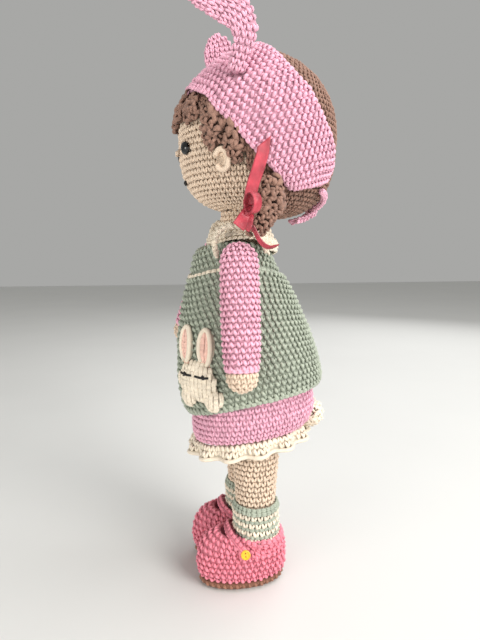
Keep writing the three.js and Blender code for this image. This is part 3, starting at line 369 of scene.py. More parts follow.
def limb(route, first=(0, -1, 0), caps=(0, 0)):
    """Rays square to a route of points. A cap adds rays that lean over an end, to so many degrees."""
    points = [Vector(point) for point in route]
    runs = [(b - a).length for a, b in zip(points, points[1:])]
    total, first = sum(runs), Vector(first)
    before, after = (abs(cap) / 90 * min(total, 0.03) / total for cap in caps)

    def spot(share):
        run = share * total
        for a, b, step in zip(points, points[1:], runs):
            if run <= step:
                return a.lerp(b, run / step)
            run -= step
        return points[-1]

    def ray(turn, share):
        along = share * (1 + before + after) - before
        lean = 0.0
        if along < 0:
            lean, along = math.radians(caps[0]) * (-along / before), 0.0
        elif along > 1:
            lean, along = math.radians(caps[1]) * ((along - 1) / after), 1.0
        tangent = (spot(min(along + 0.04, 1)) - spot(max(along - 0.04, 0))).normalized()
        x = (first - tangent * first.dot(tangent)).normalized()
        angle = turn * 2 * math.pi
        level = x * math.cos(angle) + tangent.cross(x) * math.sin(angle)
        return spot(along), level * math.cos(lean) + tangent * math.sin(lean)
    return ray


# Reading the solids


def corners_of(node):
    return np.array([vertex.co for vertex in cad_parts[node].data.vertices])


def middle_of(node):
    low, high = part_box(node)
    return (low + high) / 2


def spine_of(node, count):
    """Points down the middle of a CAD solid, from its top to its bottom."""
    places = corners_of(node)
    low, high = places[:, 2].min(), places[:, 2].max()
    route = []
    for level in np.linspace(high, low, count):
        near = places[np.abs(places[:, 2] - level) <= (high - low) / count]
        x, y, _ = (near.min(0) + near.max(0)) / 2
        route.append(Vector((x, y, level)))
    return route


@cache
def solid_tree(*nodes):
    """A search tree over the faces of some CAD nodes."""
    places, faces = [], []
    for node in nodes:
        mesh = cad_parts[node].data
        faces += [[len(places) + corner for corner in face.vertices] for face in mesh.polygons]
        places += [vertex.co.copy() for vertex in mesh.vertices]
    return BVHTree.FromPolygons(places, faces)


def on_solid(node, centre, way, reach=0.12):
    """Where a ray from a centre leaves a CAD solid, and the way its face looks."""
    way = Vector(way).normalized()
    place, normal, _, _ = solid_tree(node).ray_cast(Vector(centre) + way * reach, -way, reach)
    return place, normal if normal.dot(way) > 0 else -normal


class Skin:
    """A CAD solid's outer face, read along rays that leave a spine, and smoothed over its facets."""

    REACH = 0.12

    def __init__(self, node, ray, rows, columns, closed=True, smooth=2, most=None):
        tree = solid_tree(node)
        self.rows, self.columns, self.closed = rows, columns, closed
        far = np.full((rows + 1, columns), np.nan)
        starts, self.ways = np.zeros((2, rows + 1, columns, 3))
        for i, j in np.ndindex(rows + 1, columns):
            start, way = ray(j / (columns if closed else columns - 1), i / rows)
            start, way = Vector(start), Vector(way).normalized()
            hit = tree.ray_cast(start + way * self.REACH, -way, self.REACH)[0]
            if hit is not None:
                far[i, j] = (hit - start).length
            starts[i, j], self.ways[i, j] = start, way
        if most:
            far = np.minimum(far, most)
        self.there = (~np.isnan(far)).astype(float)[..., None]
        for _ in range(rows + columns):
            for axis, step in ((1, 1), (1, -1), (0, 1), (0, -1)):
                beside = np.roll(far, step, axis)
                if axis == 0:
                    beside[0 if step == 1 else -1] = np.nan
                elif not closed:
                    beside[:, 0 if step == 1 else -1] = np.nan
                far = np.where(np.isnan(far), beside, far)
            if not np.isnan(far).any():
                break
        for _ in range(smooth):
            beside = (np.roll(far, 1, 1) + np.roll(far, -1, 1)) / 2
            if not closed:
                beside[:, 0], beside[:, -1] = far[:, 0], far[:, -1]
            far = (far + beside) / 2
            over = far.copy()
            over[1:-1] = (far[:-2] + far[2:]) / 2
            far = far * 0.6 + over * 0.4
        self.points = starts + self.ways * far[..., None]

    def read(self, grid, across, up):
        """The values of a grid at shares across and up it."""
        across, up = np.broadcast_arrays(across, up)
        x = across * (self.columns if self.closed else self.columns - 1)
        y = np.clip(up, 0, 1) * self.rows
        if not self.closed:
            x = np.clip(x, 0, self.columns - 1 - 1e-9)
        i = np.clip(np.floor(y).astype(int), 0, self.rows - 1)
        j = np.floor(x).astype(int)
        s, t = (x - j)[:, None], (y - i)[:, None]
        j, k = j % self.columns, (j + 1) % self.columns
        low = grid[i, j] * (1 - s) + grid[i, k] * s
        high = grid[i + 1, j] * (1 - s) + grid[i + 1, k] * s
        return low * (1 - t) + high * t

    def at(self, across, up):
        return self.read(self.points, across, up)

    def frames(self, across, up):
        """Places on the skin, with the ways along a row, up to the next row, and out."""
        nudge, rise = 0.6 / self.columns, 0.6 / self.rows
        edge = across if self.closed else np.clip(across, nudge, 1 - nudge)
        along = unit(self.at(edge + nudge, up) - self.at(edge - nudge, up))
        upward = squared(self.at(across, up + rise) - self.at(across, up - rise), along)
        out = np.cross(along, upward)
        sign = np.sign((out * self.read(self.ways, across, up)).sum(1))[:, None]
        sign[sign == 0] = 1
        return self.at(across, up), along * sign, upward, out * sign


# Where stitches lie


def stitches_at(place, along, up, out, wide, tall, across=0.0, level=0.0, row=0.0):
    """Stitches at some places: the ways along, up and out of each, its size, and where it is in its piece."""
    found = {"place": place}
    for key, ways in (("along", along), ("up", up), ("out", out)):
        found[key] = np.zeros((len(place), 3)) + np.array(ways, float)
    for key, value in (("wide", wide), ("tall", tall), ("across", across), ("level", level), ("row", row)):
        found[key] = np.zeros(len(place)) + value
    return found


def chosen(stitches, keep):
    return {key: values[keep] for key, values in stitches.items()}


def joined(*groups):
    return {key: np.concatenate([group[key] for group in groups]) for key in groups[0]}


def resized(stitches, wide=1.0, tall=1.0):
    return {**stitches, "wide": stitches["wide"] * wide, "tall": stitches["tall"] * tall}


def clear_of(stitches, *nodes, reach=0.014, start=0.0015):
    """Keeps the stitches that don't lie under other solids."""
    tree = solid_tree(*nodes)
    keep = [tree.ray_cast(Vector(place + out * start), Vector(out), reach)[0] is None
            for place, out in zip(stitches["place"], stitches["out"])]
    return chosen(stitches, np.array(keep, bool))


def facing(stitches, centre, least):
    """Keeps the stitches that face away from a point."""
    away = unit(stitches["place"] - np.array(centre))
    return chosen(stitches, (stitches["out"] * away).sum(1) > least)


def apart(stitches, places, distance):
    """Keeps the stitches that lie further than a distance from some places."""
    for place in places:
        stitches = chosen(stitches, np.linalg.norm(stitches["place"] - np.array(place), axis=1) > distance)
    return stitches


def in_row(skin, across, level, wide, tall, row=0.0, least=0.6):
    """Stitches of one row, where the skin has a face."""
    row = stitches_at(*skin.frames(across, level), wide, tall, across, level, row)
    return chosen(row, skin.read(skin.there, across, level)[:, 0] > least)


def rows_of(skin, width, height, low=0.0, high=1.0, stagger=0.37):
    """The stitches of a piece: rows a stitch high, each filled with stitches of even width."""
    fine, turns = np.linspace(low, high, 161), np.linspace(0, 1, 145)
    spots = np.linspace(0, 1, 24, endpoint=not skin.closed)
    run = sum(walked(skin.at(spot, fine)) for spot in spots) / len(spots)
    count = max(1, round(run[-1] / height))
    rows = []
    for i in range(count):
        level = np.interp((i + 0.5) / count * run[-1], run, fine)
        walk = walked(skin.at(turns, level))
        number = max(3 if skin.closed else 1, round(walk[-1] / width))
        first = (i * stagger) % 1 if skin.closed else 0.5
        across = np.interp((np.arange(number) + first) / number % 1 * walk[-1], walk, turns)
        rows.append(in_row(skin, across, level, walk[-1] / number, run[-1] / count, i))
    return joined(*rows)


def ring_at(skin, level, pitch=CHAIN_PITCH, low=0.0, high=1.0, wide=1.0):
    """A chain of stitches that runs along one row."""
    turns = np.linspace(low, high, 241)
    walk = walked(skin.at(turns, level))
    number = max(2, round(walk[-1] / pitch))
    across = np.interp((np.arange(number) + 0.5) / number * walk[-1], walk, turns)
    ring = in_row(skin, across, level, walk[-1] / number * wide, walk[-1] / number, least=0.5)
    ring["along"], ring["up"] = -ring["up"], ring["along"]
    return ring


def chain_along(route, pitch, radius, sides=3, wide=1.3):
    """Chain stitches round a cord, on several sides of its route."""
    middle, tangent, runs = stations(route, pitch, pitch / 4)
    first = unit(np.cross(tangent, np.array((0.3, 1.0, 0.2))))
    second = np.cross(tangent, first)
    groups = []
    for side in range(sides):
        angle = 2 * math.pi * side / sides
        out = first * math.cos(angle) + second * math.sin(angle)
        place = middle + out * radius + tangent * pitch * side / sides
        groups.append(stitches_at(place, np.cross(tangent, out), tangent, out, pitch * wide, pitch, runs, runs))
    return joined(*groups)


# The forms of the stitches


def lobe(base, tip, bulge, girth):
    """One leg of a stitch: a plump strand that rises in its middle. Its places, faces, shares along and turns."""
    shape = bmesh.new()
    bmesh.ops.create_uvsphere(shape, u_segments=6, v_segments=5, radius=1.0)
    base, run = np.array(base), np.array(tip) - np.array(base)
    side = np.array((run[1], -run[0], 0.0)) / np.linalg.norm(run[:2])
    places, shares, turns = [], [], []
    for vertex in shape.verts:
        x, y, z = vertex.co
        share, ring = (z + 1) / 2, math.hypot(x, y)
        full = 0.0 if ring < 1e-6 else (1 - z ** 4) ** 0.5 / ring * girth
        rise = bulge * math.sin(math.pi * share) + y * full * 0.9
        places.append(base + run * share + side * x * full + np.array((0, 0, rise)))
        shares.append(share)
        turns.append(math.atan2(y, x) / (2 * math.pi))
    faces = [[vertex.index for vertex in face.verts] for face in shape.faces]
    shape.free()
    return np.array(places), faces, np.array(shares), turns


def stitch_form(*legs):
    """A stitch made of several legs, ready to be repeated: places, faces, strand map and depth, a painted shade that is
    darker where each leg sinks and at its ends.
    """
    places, faces, strand, depth = np.zeros((0, 3)), [], [], []
    for leg in legs:
        found, sides, shares, turns = lobe(*leg)
        first = found[sides[0][:3]]
        normal = np.cross(first[1] - first[0], first[2] - first[0])
        inward = np.dot(normal, found[sides[0]].mean(0) - found.mean(0)) < 0
        for side in sides:
            side = side[::-1] if inward else side
            faces.append([len(places) + corner for corner in side])
            turn = [turns[corner] for corner in side]
            wrap = max(turn) - min(turn) > 0.5
            strand += [(shares[corner], value + 1 if wrap and value < 0 else value)
                       for corner, value in zip(side, turn)]
        places = np.concatenate([places, found])
        # Painted shade: each leg is darker where it sinks towards the fabric and at its ends, and lighter on its top.
        rise = (found[:, 2] - found[:, 2].min()) / (found[:, 2].max() - found[:, 2].min())
        depth.append(np.clip(rise * 0.75 + 0.25 * np.sin(np.pi * shares), 0, 1))
    return places, faces, np.array(strand), np.concatenate(depth)


# Each leg of a stitch: its foot, its head, how far it stands out and how thick it is, in stitch widths.
V_STITCH = stitch_form(
    ((0.02, -0.60, -0.10), (-0.34, 0.52, 0.02), 0.26, 0.235),
    ((0.10, -0.56, -0.16), (0.40, 0.46, -0.02), 0.22, 0.215),
)
LEANING_STITCH = stitch_form(
    ((0.22, -0.50, -0.10), (-0.26, 0.50, 0.04), 0.30, 0.27),
    ((0.30, -0.30, -0.16), (0.52, 0.40, -0.06), 0.16, 0.19),
)
CHAIN_STITCH = stitch_form(
    ((-0.16, -0.62, -0.08), (-0.10, 0.52, 0.10), 0.18, 0.26),
    ((0.16, -0.62, -0.08), (0.10, 0.52, 0.10), 0.18, 0.26),
)
CURL_STITCH = stitch_form(
    ((-0.46, -0.42, -0.04), (0.06, 0.60, 0.04), 0.50, 0.23),
    ((0.02, 0.56, 0.0), (0.54, -0.16, 0.02), 0.44, 0.23),
    ((-0.50, -0.30, 0.0), (0.44, -0.60, -0.06), 0.30, 0.21),
)

# Each yarn whose material slot has another name, and that name.
SLOTS = {"sleeve": "rose", "tan": "sole", "blush": "cream"}


# Making pieces


def linked(name, data):
    piece = bpy.data.objects.new(name, data)
    bpy.context.scene.collection.objects.link(piece)
    return piece


def worn(name, data, material, slot, body="doll"):
    """A piece of the doll, on its body, with its material; its slot is not used."""
    data.materials.append(material)
    piece = linked(name, data)
    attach(piece, body)
    return piece


def mesh_of(name, shape):
    mesh = bpy.data.meshes.new(name)
    shape.to_mesh(mesh)
    shape.free()
    return mesh


def backing(node, inset, yarn, name=None, slot=None, body="doll", rests_on=None):
    """The crocheted fabric under the stitches: a copy of a CAD solid, drawn in so that the stitches stand on it, in its
    yarn painted darker as the shade between the stitches.
    """
    shape = bmesh.new()
    shape.from_mesh(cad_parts[node].data)
    bmesh.ops.remove_doubles(shape, verts=shape.verts, dist=2e-6)
    shape.normal_update()
    for vertex in shape.verts:
        vertex.co -= vertex.normal * inset
    name = name or f"{node}_fabric"
    mesh = mesh_of(name, shape)
    for face in mesh.polygons:
        face.use_smooth = True
    mesh.set_sharp_from_angle(angle=math.radians(50))
    piece = worn(name, mesh, finish_of(yarn, "ground"), slot or SLOTS.get(yarn, yarn), body)
    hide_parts(node)
    if rests_on:
        low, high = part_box(node)
    return piece


def crochet(name, stitches, yarn, form=V_STITCH, slot=None, body="doll", sink=0.0007, wobble=0.1, thick=1.0, seed=1):
    """One mesh that holds a stitch of one yarn at each of the given places."""
    template, faces, strand, depth = form
    number, size = len(stitches["place"]), len(template)
    chance = np.random.default_rng(seed)
    sway = chance.normal(0, wobble, (number, 1))
    swell = 1 + chance.normal(0, 0.05, (number, 1))
    sunk = sink + chance.normal(0, 0.00008, (number, 1))
    wide, tall = stitches["wide"][:, None], stitches["tall"][:, None]
    ways = (
        (stitches["along"] + stitches["up"] * sway) * wide * swell,
        (stitches["up"] - stitches["along"] * sway) * tall * swell,
        stitches["out"] * np.minimum(wide, tall * 1.2) * thick * swell,
    )
    places = (stitches["place"] - stitches["out"] * sunk)[:, None]
    for k, way in enumerate(ways):
        places = places + template[None, :, k, None] * way[:, None]
    corners = np.concatenate(faces)
    begins = np.concatenate([[0], np.cumsum([len(face) for face in faces])[:-1]])
    copies = np.arange(number)[:, None]
    mesh = bpy.data.meshes.new(name)
    mesh.vertices.add(number * size)
    mesh.vertices.foreach_set("co", places.astype(np.float32).ravel())
    mesh.loops.add(number * len(corners))
    mesh.loops.foreach_set("vertex_index", (corners + size * copies).astype(np.int32).ravel())
    mesh.polygons.add(number * len(faces))
    mesh.polygons.foreach_set("loop_start", (begins + len(corners) * copies).astype(np.int32).ravel())
    mesh.polygons.foreach_set("use_smooth", np.ones(number * len(faces), bool))
    mapped = np.tile(strand, (number, 1)) + np.repeat(chance.random((number, 1)), len(corners), 0) * (0.0, 1.0)
    mesh.uv_layers.new(name="strand").data.foreach_set("uv", mapped.astype(np.float32).ravel())
    shade = np.repeat(chance.normal(0, 0.5, number), size)
    # depth carries the painted shade of each stitch's dips; shade is a random tone for each stitch.
    for key, values in (("depth", np.tile(depth, number)), ("shade", shade)):
        mesh.attributes.new(key, "FLOAT", "POINT").data.foreach_set("value", values.astype(np.float32))
    mesh.update(calc_edges=True)
    return worn(name, mesh, finish_of(yarn), slot or SLOTS.get(yarn, yarn), body)


def strip(name, route, across, width, thickness, material, body, slant=0.0):
    """A ribbon along a route, with the way of its width. A slant cuts its far end askew."""
    points = smooth_route(route, 6)
    shape = bmesh.new()
    layer = shape.loops.layers.uv.new("strand")
    last = len(points) - 1
    shares = [k / 6 - 0.5 for k in range(7)]
    shares += shares[::-1]
    rungs = []
    for i, point in enumerate(points):
        tangent = (points[min(i + 1, last)] - points[max(i - 1, 0)]).normalized()
        wide = Vector(across)
        wide = (wide - tangent * wide.dot(tangent)).normalized()
        out = tangent.cross(wide)
        ahead = tangent * slant * (i / last) ** 3
        rung = []
        for k, share in enumerate(shares):
            rise = 0.06 * width * math.cos(math.pi * share) + thickness * (0.5 if k < 7 else -0.5)
            rung.append(shape.verts.new(point + (wide + ahead) * share * width + out * rise))
        rungs.append(rung)
    for i, (low, high) in enumerate(zip(rungs, rungs[1:])):
        for k in range(14):
            after = (k + 1) % 14
            face = shape.faces.new((low[k], low[after], high[after], high[k]))
            for loop, (a, b) in zip(face.loops, ((i, k), (i, after), (i + 1, after), (i + 1, k))):
                loop[layer].uv = (a / last, shares[b] + 0.5)
            face.smooth = k % 7 != 6
    for rung in (rungs[0], rungs[-1]):
        for k in range(6):
            shape.faces.new((rung[k], rung[k + 1], rung[12 - k], rung[13 - k]))
    bmesh.ops.recalc_face_normals(shape, faces=shape.faces)
    return worn(name, mesh_of(name, shape), material, "satin", body)


def thread(name, route, radius, material, slot):
    """A plain cord or stitched line."""
    curve = bpy.data.curves.new(name, "CURVE")
    curve.dimensions = "3D"
    curve.bevel_depth = radius
    curve.bevel_resolution = 3
    curve.use_fill_caps = True
    points = smooth_route(route)
    spline = curve.splines.new("POLY")
    spline.points.add(len(points) - 1)
    for spot, point in zip(spline.points, points):
        spot.co = (*point, 1.0)
    return worn(name, curve, material, slot)


def dressed(node, material):
    """Gives a CAD node that stays in view its finish."""
    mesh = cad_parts[node].data
    mesh.materials.clear()
    mesh.materials.append(material)


# The pieces, one operator to each group of like ones


class DollOperator:
    bl_options = {"REGISTER", "UNDO"}

    def execute(self, context):
        self.build(context.scene.doll_yarn, context.scene.doll_trim, context.scene.doll_stage)
        return {"FINISHED"}


class DOLL_OT_stage(DollOperator, bpy.types.Operator):
    """Set the floor, backdrop, lights and camera"""

    bl_idname = "doll.stage"
    bl_label = "Stage"

    # The camera: its place round the doll, how far it looks down, how far its line passes beside the doll's
    # middle, its sensor's height and its focal length in shares of that.
    AZIMUTH, PITCH = math.radians(80), math.radians(8)
    ASIDE = 0.0077
    SENSOR, FOCAL_SHARE = 24, 490 / 640
    # Each lamp: its name, place, aim, size, power and tint.
    LAMPS = (
        ("key", (1.0, 0.72, 0.72), (0, 0, 0.18), 0.7, 16.5, (1.0, 0.98, 0.96)),
        ("fill", (0.78, -0.95, 0.11), (0, 0, 0.1), 0.8, 11.0, (1.0, 0.97, 0.93)),
        ("top", (0.15, 0.5, 1.2), (0, 0, 0.25), 0.8, 8.0, (1.0, 1.0, 1.0)),
        ("back", (-0.9, 0.7, 0.7), (0, 0, 0.2), 0.8, 4.0, (1.0, 1.0, 1.0)),
    )

    def build(self, yarns, trim, stage):
        scene = bpy.context.scene
        scene.view_settings.view_transform = "Standard"
        back = Vector((math.sin(self.AZIMUTH), -math.cos(self.AZIMUTH), 0))
        right = Vector((math.cos(self.AZIMUTH), math.sin(self.AZIMUTH), 0))
        lens = bpy.data.cameras.new("camera")
        lens.sensor_fit = "VERTICAL"
        lens.sensor_height = self.SENSOR
        lens.lens = self.SENSOR * self.FOCAL_SHARE
        camera = linked("camera", lens)
        camera.location = back * stage.distance - right * self.ASIDE + Vector((0, MIDDLE, stage.height))
        look = -back * math.cos(self.PITCH) - Vector((0, 0, math.sin(self.PITCH)))
        camera.rotation_euler = look.to_track_quat("-Z", "Y").to_euler()
        scene.camera = camera

        shape = bmesh.new()
        bmesh.ops.create_grid(shape, x_segments=1, y_segments=1, size=3.0)
        floor = linked("floor", mesh_of("floor", shape))
        floor.data.materials.append(flecked_finish("pale_floor", stage.floor, 0.8, 6.0, 3.0, (0.97, 1.03)))

        scene.world = bpy.data.worlds.new("studio")
        scene.world.use_nodes = True
        sky = scene.world.node_tree.nodes["Background"].inputs
        sky["Color"].default_value, sky["Strength"].default_value = linear(stage.floor), 0.55
        for name, place, aim, size, power, tint in self.LAMPS:
            lamp = bpy.data.lights.new(name, "AREA")
            lamp.size, lamp.energy, lamp.color = size, power, tint
            light = linked(name, lamp)
            light.location = place
            light.rotation_euler = (Vector(aim) - Vector(place)).to_track_quat("-Z", "Y").to_euler()


class DOLL_OT_ties(DollOperator, bpy.types.Operator):
    """Crochet the bonnet's two ties and their knot"""

    bl_idname = "doll.ties"
    bl_label = "Bonnet Ties"

    ROUTE = (
        (33.3, 36.1, 259.4), (25.8, 40.5, 257.5), (18.0, 43.0, 255.5), (11.0, 43.4, 253.4), (6.6, 41.6, 251.0),
        (5.0, 40.3, 248.0), (5.2, 36.5, 245.4), (6.6, 32.5, 243.7), (8.3, 29.0, 243.0),
    )

    def build(self, yarns, trim, stage):
        size = trim.tie_diameter
        knot = backing("bonnet_tie_knot", 0.0006, "rose", "tie_knot")
        skin = Skin("bonnet_tie_knot", globe(middle_of("bonnet_tie_knot"), -70, 70), 16, 24, smooth=3)
        loops = rows_of(skin, 0.0034, 0.003)
        crochet("tie_knot_stitches", loops, "rose", CHAIN_STITCH, sink=0.0005, wobble=0.5, seed=5)
        for side_name, side in SIDES:
            tie = f"bonnet_tie_{side_name}"
            route = smooth_route([mm(*point, side) for point in self.ROUTE], 3)
            # The core wears the rose ground, painted darker as shade between the chain stitches.
            core = thread(f"{tie}_core", route, size * 0.38, finish_of("rose", "ground"), "rose")
            chain = chain_along(route, 0.0029, size * 0.22)
            chain = crochet(f"{tie}_chain", chain, "rose", CHAIN_STITCH, sink=0.0, seed=side + 7)
            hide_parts(tie)
            run = sum((b - a).length for a, b in zip(route, route[1:]))
            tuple(route[0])


class DOLL_OT_head(DollOperator, bpy.types.Operator):
    """Crochet the head, its ears, nose, eyes and mouth"""

    bl_idname = "doll.head"
    bl_label = "Head and Face"

    # The two rims of each ear: half width, half height, how far out, first and last angle, and thickness.
    EAR_RIMS = ((0.0041, 0.0056, 0.0027, -150, 150, 0.0017), (0.0017, 0.0028, 0.0014, -110, 130, 0.001))

    def build(self, yarns, trim, stage):
        backing("head", 0.0013, "skin")
        eyes = [on_solid("head", HEAD_CENTRE, middle_of(f"eye_{side_name}") - HEAD_CENTRE)[0] for side_name, _ in SIDES]
        skin = Skin("head", globe(HEAD_CENTRE, -86, 62), 60, 96)
        face = rows_of(skin, yarns.stitch_width * 0.93, yarns.row_height * 0.95)
        face = apart(clear_of(face, "hair_cap", "bonnet", "torso"), eyes, 0.0034)
        crochet("face_stitches", face, "skin", seed=11)

        backing("nose", 0.0004, "skin")
        tip, out = on_solid("nose", HEAD_CENTRE, (0, -1, -0.24))
        spots = np.array([tip + Vector((x * 0.0022, 0.0007 * abs(x), 0.0002)) for x in (-1, 0, 1)])
        nose = stitches_at(spots, (0, 0, -1), (1, 0, 0), out, 0.0042, 0.0026)
        crochet("nose_stitches", nose, "skin", CHAIN_STITCH, sink=0.0006, seed=12)

        black = gloss_finish("safety_eye_black", (0.02, 0.02, 0.022), 0.04)
        clear = gloss_finish("washer_plastic", (0.86, 0.88, 0.88), 0.35)
        low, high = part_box("mouth_stitch")
        route = []
        for share in (-1, -0.5, 0, 0.5, 1):
            level = high.z - 0.0003 - (high.z - low.z) * 0.8 * (1 - share * share)
            way = (share * 0.0036, low.y - HEAD_CENTRE.y, level - HEAD_CENTRE.z)
            spot, out = on_solid("head", HEAD_CENTRE, way)
            route.append(spot + out * 0.0009)
        smile = thread("mouth_thread", route, 0.00075, thread_finish("mouth_thread", trim.thread), "thread")
        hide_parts("mouth_stitch")

        for side_name, side in SIDES:
            dressed(f"eye_{side_name}", black)
            dressed(f"eye_washer_{side_name}", clear)
            ear = f"doll_ear_{side_name}"
            backing(ear, 0.0006, "skin")
            spot, out = on_solid("head", HEAD_CENTRE, middle_of(ear) - HEAD_CENTRE)
            sideways = Vector((0, 0, 1)).cross(out).normalized()
            upward = out.cross(sideways)
            for number, (wide, tall, lift, start, end, thickness) in enumerate(self.EAR_RIMS, 1):
                rim = []
                for angle in np.radians(np.linspace(start, end, 13)):
                    aside, rise = math.cos(angle) * wide * side, math.sin(angle) * tall - 0.0008
                    rim.append(spot + out * lift + sideways * aside + upward * rise)
                thread(f"{ear}_rim_{number}", rim, thickness, finish_of("skin", "cord"), "skin")


class DOLL_OT_hair(DollOperator, bpy.types.Operator):
    """Crochet the hair, the fringe and the two pigtails"""

    bl_idname = "doll.hair"
    bl_label = "Hair"

    # The pigtails' hinges, and how far they swing forward. The curls keep clear of the bonnet there.
    PIVOT = mm(0, 0.234, 264)
    SWING = Matrix.Rotation(math.radians(15), 3, "X")
    CLEARANCE = 0.0024

    def build(self, yarns, trim, stage):
        backing("hair_cap", 0.0011, "hair", "hair_fabric")
        skin = Skin("hair_cap", globe(HEAD_CENTRE, -80, 88), 70, 96)
        rows = rows_of(skin, yarns.stitch_width * 0.9, yarns.row_height * 0.92)
        crochet("hair_stitches", clear_of(rows, "bonnet", "torso"), "hair", seed=31)
        bonnet = solid_tree("bonnet")
        for side_name, side in SIDES:
            for number in (1, 2, 3, 4):
                lock = f"fringe_lock_{side_name}_{number}"
                backing(lock, 0.0008, "hair")
                skin = Skin(lock, limb(spine_of(lock, 4), (1, 0, 0), (-70, 70)), 24, 30)
                curls = resized(facing(rows_of(skin, 0.0040, 0.0034), HEAD_CENTRE, 0.05), 1.15, 1.2)
                crochet(f"{lock}_curls", curls, "hair", CURL_STITCH, sink=0.0002, wobble=0.9, thick=1.1,
                        seed=40 + number)
            tail = f"pigtail_{side_name}"
            backing(tail, 0.0011, "hair", body=f"{tail}_body")
            skin = Skin(tail, limb(spine_of(tail, 6), (1, 0, 0), (-75, 80)), 30, 36, smooth=1)
            curls = rows_of(skin, 0.0042, 0.0036)
            swung = [bonnet.find_nearest(self.SWING @ (Vector(place) - self.PIVOT) + self.PIVOT)[3]
                     for place in curls["place"]]
            curls = resized(chosen(curls, np.array(swung) > self.CLEARANCE), 1.12, 1.15)
            curls["along"] = unit(curls["along"] + curls["up"] * 0.5 * side)
            curls["up"] = np.cross(curls["out"], curls["along"])
            crochet(f"{tail}_curls", curls, "hair", CURL_STITCH, body=f"{tail}_body", sink=0.0004, wobble=0.6,
                    thick=1.1, seed=60 + side)


class DOLL_OT_bonnet(DollOperator, bpy.types.Operator):
    """Crochet the bonnet and its two rabbit ears"""

    bl_idname = "doll.bonnet"
    bl_label = "Bonnet"

    # The bonnet's front and back edges in the side view, from its lower corner up to the middle of the crown.
    FRONT = ((16.2, 258.2), (12.9, 258.8), (10, 261), (5.4, 265.1), (1, 269.3), (-4.2, 273.8), (-8.8, 278),
             (-14.2, 284), (-19.3, 291.3), (-23.8, 295.3), (-27.9, 299.6), (-31, 304.4), (-33.3, 309.1),
             (-37.1, 313), (-40.3, 316), (-42.3, 320), (-43.5, 321.5))
    BACK = ((39.3, 264.4), (42.9, 274.1), (42.9, 283.2), (37.8, 292.3), (31.9, 299.7), (27.1, 307), (22.9, 313.8),
            (16.4, 319.6), (12.1, 325.3), (8.1, 331.9), (4.3, 337.4), (1, 341.7), (-1.5, 346), (-3, 348.4))
    # Each ear's middle line in the side view, forward and up from its root, in steps of so many millimetres.
    EAR_STEP = 10.5
    EARS = {
        "left": ((0, 0), (-0.15, 0.5), (-0.3, 1), (-0.4, 1.75), (0.12, 2.5), (0.85, 3.08), (1.75, 3.55),
                 (2.6, 3.8), (3.25, 3.85)),
        "right": ((0, 0), (-0.1, 0.5), (-0.22, 1), (-0.34, 1.8), (-0.42, 2.65), (-0.4, 3.45), (-0.3, 4.2),
                  (-0.12, 4.75), (0.1, 5.1)),
    }
    HEAD_RADIUS, HEAD_TOP, HEAD_BOTTOM = 0.054, 0.0529, 0.0535

    def edge_ways(self, edge):
        """The edge's points as ways out of the head's centre, evenly spaced."""
        ways = []
        for back, level in edge:
            _, y, z = mm(0, back, level) - HEAD_CENTRE
            tall, power = (self.HEAD_BOTTOM, 3.0) if z < 0 else (self.HEAD_TOP, 2.0)
            brow = 1 - 0.09 * max(-y / self.HEAD_RADIUS, 0) * max(z / self.HEAD_TOP, 0)
            ring = self.HEAD_RADIUS * brow * max(1 - abs(z / tall) ** power, 0) ** (1 / power)
            ways.append((math.sqrt(max(ring * ring - y * y, 0)), y, z))
        ways = np.array(ways)
        walk = walked(ways)
        return places_at(np.linspace(0, walk[-1], 33), walk, ways)

    def build(self, yarns, trim, stage):
        front, back = self.edge_ways(self.FRONT), self.edge_ways(self.BACK)

        def ray(turn, share):
            along = (1 - abs(2 * turn - 1)) * 32
            low = min(int(along), 31)
            a, b = (unit(edge[low] * (1 - along + low) + edge[low + 1] * (along - low)) for edge in (front, back))
            angle = math.acos(max(-1, min(1, float(a @ b))))
            way = (a * math.sin((1 - share) * angle) + b * math.sin(share * angle)) / max(math.sin(angle), 1e-6)
            return HEAD_CENTRE, (way[0] * (1 if turn >= 0.5 else -1), way[1], way[2])

        backing("bonnet", 0.0009, "rose", rests_on=["hair_cap"])
        skin = Skin("bonnet", ray, 40, 121, closed=False)
        rows = rows_of(skin, yarns.stitch_width, yarns.row_height, 0.015, 0.985)
        rows = apart(rows, [mm(*EAR_ROOT, side) for _, side in SIDES], 0.005)
        for part, keep in (("left", rows["across"] >= 0.5), ("right", rows["across"] < 0.5)):
            crochet(f"bonnet_stitches_{part}", chosen(rows, keep), "rose", LEANING_STITCH, seed=70)
        edging = joined(*[ring_at(skin, level, low=0.01, high=0.99) for level in (0.012, 0.988)])
        crochet("bonnet_edging", edging, "rose", CHAIN_STITCH, sink=0.0002, seed=71)

        x, y, z = EAR_ROOT
        for side_name, side in SIDES:
            ear = f"bonnet_ear_{side_name}"
            backing(ear, 0.0008, "rose", body=f"{ear}_body")
            route = [mm(x + min(i, 2) * 2.1, y - forward * self.EAR_STEP, z + up * self.EAR_STEP, side)
                     for i, (forward, up) in enumerate(self.EARS[side_name])]
            skin = Skin(ear, limb(route, (0, 1, 0), (-30, 70)), 60, 48, smooth=1)
            rows = rows_of(skin, yarns.stitch_width * 0.84, yarns.row_height * 0.88)
            crochet(f"{ear}_stitches", rows, "rose", body=f"{ear}_body", sink=0.0006, seed=72)


